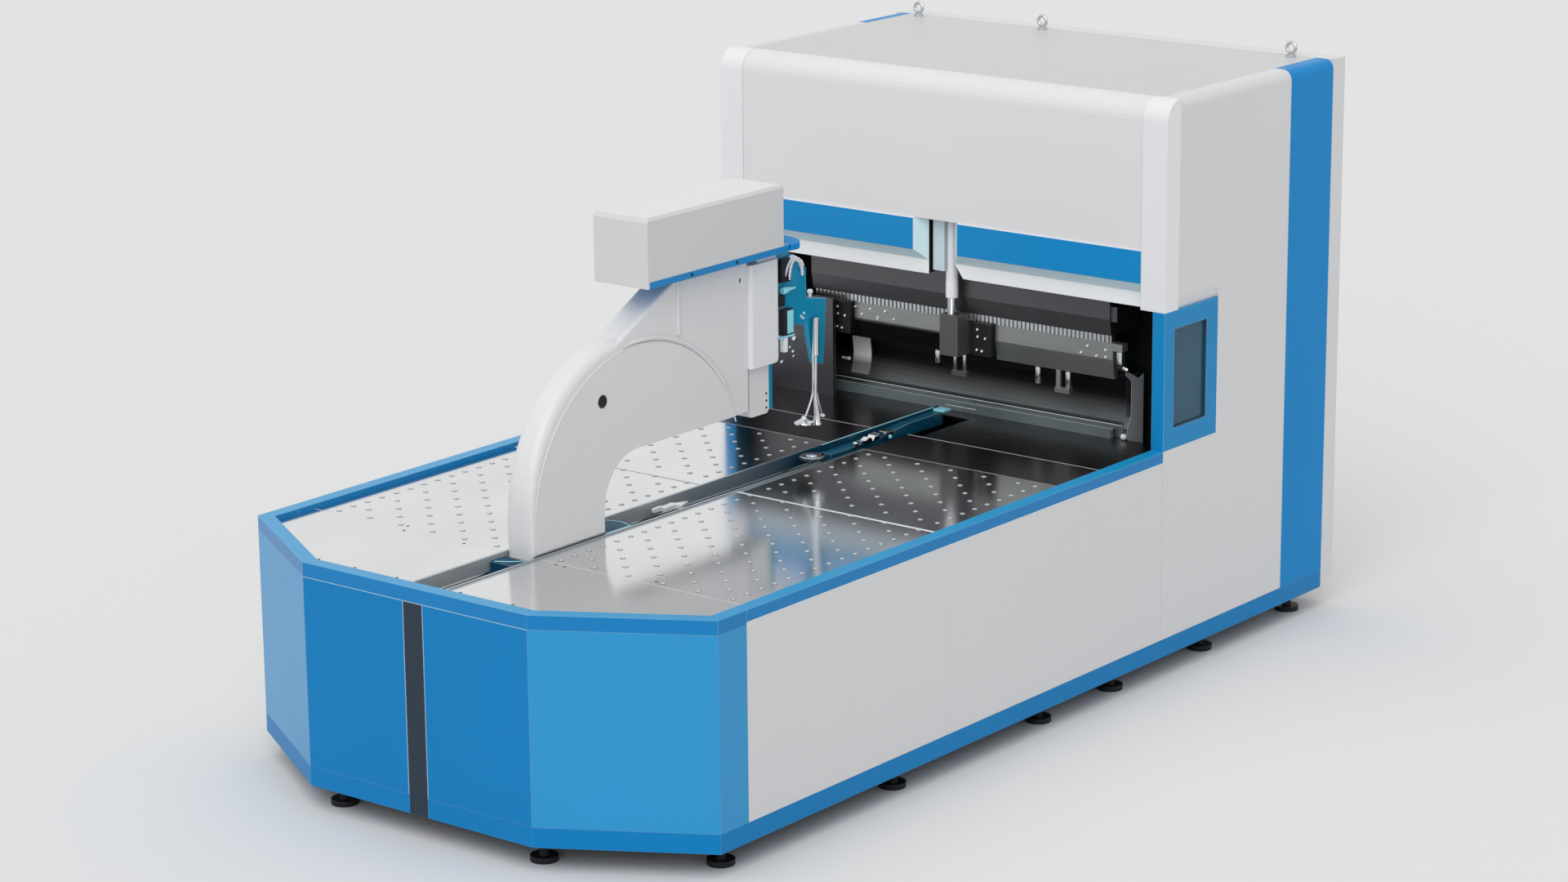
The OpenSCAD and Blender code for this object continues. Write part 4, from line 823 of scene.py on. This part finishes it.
# Blade carrier and counter blade
# The C-shaped carrier is dark forged steel, painted near black high up and grey low down as painted shade,
# with a painted reflection on a strip at its left end and a painted highlight on its right flange. The blade and the
# counter blade below it have ground edges, drawn with thin painted highlights.
def frame_build(place):
    mask, soft = edge_mask(place, 0.003)
    # Painted shade: near black high up, lighter grey low down; the flange's face is painted light grey and non-metallic
    # as painted light, and the edges take a painted highlight.
    height = place.node("SeparateXYZ", {0: place}, output="Z")
    low = height.node("MapRange", {"Value": height, "From Min": 1.13, "From Max": 1.02})
    scratch = place.noise(6, 3, (1.2, 40, 40))
    lit_colour = scratch.blend(srgb(84, 86, 88), srgb(120, 124, 126))
    deep = mask.node("Mix", {0: low, 6: srgb(12, 12, 14), 7: lit_colour}, output=2, data_type="RGBA")
    across = place.node("SeparateXYZ", {0: place}, output="X")
    flange = across.sum("ABSOLUTE", across) > 0.846
    deep = flange.node("Mix", {0: flange, 6: deep, 7: srgb(196, 200, 204)}, output=2, data_type="RGBA")
    return {
        "Base Color": mask.node("Mix", {0: mask, 6: deep, 7: srgb(150, 154, 158)}, output=2, data_type="RGBA"),
        "Roughness": scratch * 0.1 + 0.34,
        "Metallic": (low * 0.6 + 0.3) * (1 - flange),
        "Normal": soft,
    }


forged_steel = finish("forged_steel", {"IOR": 1.5, "Specular IOR Level": 0.3}, frame_build)
dress(forged_steel, "blade_frame")
blade_steel = machined_steel("blade_steel", srgb(150, 160, 162), 0.3, marks=(1.2, 40, 40))
dress(blade_steel, "lower_blade")


def counter_build(place):
    mask, soft = edge_mask(place, 0.002)
    patch = place.noise(2.4, 4, (1, 1, 1))
    return {
        "Base Color": patch.blend(srgb(64, 74, 78), srgb(150, 164, 166)),
        "Roughness": patch * 0.15 + 0.3,
        "Metallic": patch * 0.3 + 0.2,
        "Normal": soft,
    }


dress(finish("counter_steel", {"IOR": 1.5}, counter_build), "counter_blade")
FRAME_ARC, FRAME_ARC_R = Vector((3.472, 1.13)), 0.2
pad = Shape()
inner = [(3.657, 1.207), (3.659, 1.19)] + arc(FRAME_ARC, FRAME_ARC_R - 0.006, math.radians(13), math.radians(-28), 16)
outer = arc(FRAME_ARC, FRAME_ARC_R + 0.002, math.radians(-28), math.radians(13), 16) + [(3.667, 1.19), (3.667, 1.207)]
pad.prism(inner + outer, -0.685, -0.585)


# Painted reflection: the strip is white high up and grey lower down.
def carrier_reflection_build(place):
    height = place.node("SeparateXYZ", {0: place}, output="Z")
    high = height.node("MapRange", {"Value": height, "From Min": 1.085, "From Max": 1.125})
    return {"Base Color": high.blend(srgb(128, 128, 130), srgb(255, 255, 255)), "Roughness": place.noise(9, 3) * 0.1 + 0.2}


made("carrier_reflection_pad", pad, finish("carrier_reflection_pad", {"IOR": 1.5}, carrier_reflection_build), "blade_carrier", "bright_steel")
# Painted highlight: a thin bright line along the carrier and a small bright turned piece.
carrier_gleams = Shape()
carrier_gleams.turned([(0.006, 0), (0.006, 0.03), (0.009, 0.034), (0.009, 0.042), (0.006, 0.046)], (-0.735, 3.645, 1.1), (1, 0, 0), 14)
carrier_gleams.block((-0.778, 3.6175, 1.0175), (0.82, 3.6195, 1.0205), 0.0005)
made("carrier_gleams", carrier_gleams, painted_gleam_white, "blade_carrier", "bright_steel")
# Painted highlight: thin bright lines along the blades' edges.
counter_edges = Shape()
counter_edges.block((-0.778, 3.6095, 0.9995), (0.778, 3.6122, 1.0015), 0.0005)
counter_edges.block((-0.107, 3.5872, 0.981), (0.06, 3.5885, 0.984), 0.0004)
counter_edges.turned([(0.006, 0), (0.013, 0.006), (0.014, 0.02), (0.008, 0.028)], (0.822, 3.606, 0.975), (1, 0, 0))
made("counter_blade_edges", counter_edges, painted_gleam_white, "machine", "bright_steel")


# Black tool floor
# Sheet that closes the table between the plates and the tools, with a satin black oxide finish, a painted
# highlight along its step, and lighter ground edges where it meets the plates.
black_floor = machined_steel("black_floor", srgb(92, 88, 92), 0.26, depth=0.02, spread=0.05)
dress(black_floor, "tool_floors", "tool_bed")
# Painted highlight: a pale strip along the floor's step.
step_highlight = powder_coat("step_highlight", srgb(150, 142, 148), rough=0.35, cloud=0.15)
floor_edges = Shape()
for side in (-1, 1):
    ends = sorted((side * 0.089, side * 1.135))
    floor_edges.block((ends[0], 3.0345, 0.9885), (ends[1], 3.0408, 0.9912), 0.0008)
made("floor_step_edges", floor_edges, step_highlight, "machine", "bright_steel")
plate_end = powder_coat("plate_end", srgb(108, 106, 108), rough=0.35, cloud=0.15)
plate_ends = Shape()
for side in (-1, 1):
    ends = sorted((side * 0.089, side * 1.135))
    plate_ends.block((ends[0], 2.7075, 0.985), (ends[1], 2.7125, 0.9962), 0.0008)
    plate_ends.block((ends[0], 2.722, 0.988), (ends[1], 2.726, 0.9915), 0.0008)
made("plate_end_edges", plate_ends, plate_end, "machine", "bright_steel")
pad_top = Shape()
pad_top.turned([(0.056, 0), (0.0565, 0.001), (0.054, 0.0022), (0.026, 0.0022), (0.024, 0.006), (0.012, 0.009), (0.001, 0.0095)],
               (0.0, 2.476, 1.0005), around=36)
made("round_pad_top", pad_top, chrome, "machine", "bright_steel")


# Housing over the bending unit
# Folded and powder-coated sheet: pale sides and rear, a front cover in a lighter copy of the pale paint as painted
# light, between round corner trims, a grey roof and blue bands. Cap screws under the folds hold the panels, so few of
# them show.
dress(white_paint, "corner_trims")
# Painted light: the front cover takes a lighter copy of the pale side paint, for the light on faces that look to the
# front.
front_lit_paint = powder_coat("front_lit_paint", srgb(223, 223, 224), cloud=0.015)
dress(front_lit_paint, "front_cover")
roof_paint = powder_coat("roof_paint", srgb(199, 199, 200), cloud=0.02)
dress(roof_paint, "roof_cover")
band_paint = powder_coat("band_paint", srgb(0, 133, 202), shine=0.14)
dress(band_paint, "blue_bands")
# Painted highlight: pale blue strips at the edges of the blue bands.
housing_edges = Shape()
BAND_Y, BAND_END = 4.335, 4.687
for side in (-1, 1):
    low_x, high_x = sorted((side * 1.19, side * 1.2006))
    housing_edges.block((low_x, BAND_Y - 0.0015, 0.18), (high_x, BAND_Y + 0.0015, 2.47))
    housing_edges.block((low_x, BAND_END - 0.0015, 0.18), (high_x, BAND_END + 0.0015, 2.47))
made("housing_seams", housing_edges, highlight_blue_edge, "machine", "pale")


# Window in each side
# A tinted pane behind a blue frame panel, sealed all round by a thin rubber lip, with white painted
# highlights along the edges where the frame panel meets the pale side. The panel's inner face is painted dark as
# painted shade.
WINDOW_INNER_X = 1.139


def window_build(place):
    mask, soft = edge_mask(place, 0.0035)
    across = place.node("SeparateXYZ", {0: place}, output="X")
    # Painted shade: the panel's inner face, inside the housing, is painted dark teal; its edges take a pale blue
    # painted highlight.
    inner = across.sum("ABSOLUTE", across) < WINDOW_INNER_X
    clouds = place.noise(1.1, 3)
    outside = clouds.blend(srgb(4, 131, 190), srgb(8, 138, 200))
    return {
        "Base Color": mask.blend(inner.blend(outside, srgb(8, 52, 70)), srgb(150, 196, 226)),
        "Roughness": place.noise(6, 4) * 0.08 + 0.34,
        "Normal": soft,
    }


dress(finish("window_paint", {"IOR": 1.5, "Specular IOR Level": 0.25}, window_build), "window_panels")
window_glass = powder_coat("window_glass", srgb(26, 78, 102), rough=0.22, shine=0.35, cloud=0.1)
dress(window_glass, "window_panes")
PANE_Y, PANE_Z, WINDOW_END, WINDOW_TOP = (3.435, 3.692), (1.105, 1.538), 3.775, 1.619
seals, window_edges = Shape(), Shape()
for side in (-1, 1):
    low_x, high_x = sorted((side * 1.186, side * 1.196))
    for y0, y1, z0, z1 in ((PANE_Y[0], PANE_Y[0] + 0.004, *PANE_Z), (PANE_Y[1] - 0.004, PANE_Y[1], *PANE_Z),
                           (*PANE_Y, PANE_Z[0], PANE_Z[0] + 0.004), (*PANE_Y, PANE_Z[1] - 0.004, PANE_Z[1])):
        seals.block((low_x, y0, z0), (high_x, y1, z1), 0.001)
    low_x, high_x = sorted((side * 1.19, side * 1.2006))
    window_edges.block((low_x, WINDOW_END - 0.0015, 1.016), (high_x, WINDOW_END + 0.0015, WINDOW_TOP))
    window_edges.block((low_x, 3.36, 1.0145), (high_x, WINDOW_END, 1.0165))
made("window_seals", seals, powder_coat("seal_rubber", srgb(30, 60, 80), rough=0.6, shine=0.3), "machine", "black")
made("window_edges", window_edges, white_highlight_edge, "machine", "pale")


# Striped fascia and centre cylinder
# Bevelled white panels with blue faces hang under the front cover. The centre cylinder's bright tube
# stands in the notch between them, behind a narrow pale guard that is screwed to the cover.
stripe_paint = powder_coat("stripe_paint", srgb(4, 136, 200), shine=0.25)
dress(stripe_paint, "fascia_stripes")
STRIPE_LOW, LIP_HIGH, NOTCH_HALF = 1.7318, 1.684, 0.1195


def fascia_build(place):
    mask, soft = edge_mask(place, 0.002)
    across = place.node("SeparateXYZ", {0: place}, output="X")
    height = place.node("SeparateXYZ", {0: place}, output="Z")
    above_lip = height > LIP_HIGH
    # Painted light: the downward bevels under the stripes and the notch's faces are painted pale blue, the other faces
    # near white, and the edges whiter still.
    bevels = above_lip * above_lip.sum("MAXIMUM", height < STRIPE_LOW, across.sum("ABSOLUTE", across) < NOTCH_HALF)
    return {
        "Base Color": mask.blend(bevels.blend(srgb(246, 247, 249), srgb(214, 240, 248)), srgb(250, 251, 252)),
        "Roughness": place.noise(6, 4) * 0.08 + 0.34,
        "Normal": soft,
    }


fascia_paint = finish("fascia_paint", {"IOR": 1.5}, fascia_build)
dress(fascia_paint, "fascia_panels")
hood_corner = Shape()
hood_corner.prism([(-0.118, 1.6195), (-0.07, 1.6195), (-0.07, 1.684), (-0.074, 1.684)], 3.4095, 3.4535, "Y")
made("hood_corner", hood_corner, fascia_paint, "machine", "white")
# Painted shadow: a black strip at the back of the notch, left of the guard.
notch_shadow = Shape()
notch_shadow.block((-0.0702, 3.4105, 1.621), (-0.0688, 3.4535, 1.875))
made("notch_shadow", notch_shadow, black_paint, "machine", "black")
tube = Shape()
tube.turned([(0.026, 0.0), (0.028, 0.003), (0.028, 0.07), (0.0272, 0.074), (0.0272, 0.1), (0.028, 0.104), (0.028, 0.366),
             (0.001, 0.366)], (0.008, 3.475, 1.51), around=40)
# Painted light: the tube is painted near white so that it looks lit, though it stands in the fascia's shade.
tube_lit_white = powder_coat("tube_lit_white", srgb(246, 247, 250), rough=0.22, cloud=0.02, shine=0.7)
made("centre_tube", tube, tube_lit_white, "machine", "bright_steel", ["centre_cylinder"])
sleeve = Shape()
sleeve.turned([(0.0212, 0.0), (0.0215, 0.002), (0.0215, 0.26), (0.001, 0.26)], (0.008, 3.475, 1.4355), around=32)
made("centre_rod_sleeve", sleeve, chrome, "press", "chrome")
guard = Shape()
guard.prism([(-0.06, 3.424), (0.002, 3.424), (0.002, 3.442), (-0.06, 3.442)], 1.635, 1.8765, "Z", 0.006, 4)
guard_paint = powder_coat("guard_paint", srgb(206, 222, 230), rough=0.3)
made("centre_guard", guard, guard_paint, "machine", "white", ["centre_cylinder"])
lips = Shape()
for side in (-1, 1):
    ends = sorted((side * 0.17, side * 1.073))
    lips.block((ends[0], 3.3588, 1.7285), (ends[1], 3.3615, 1.7315), 0.0006)
made("fascia_lines", lips, guard_paint, "machine", "white")
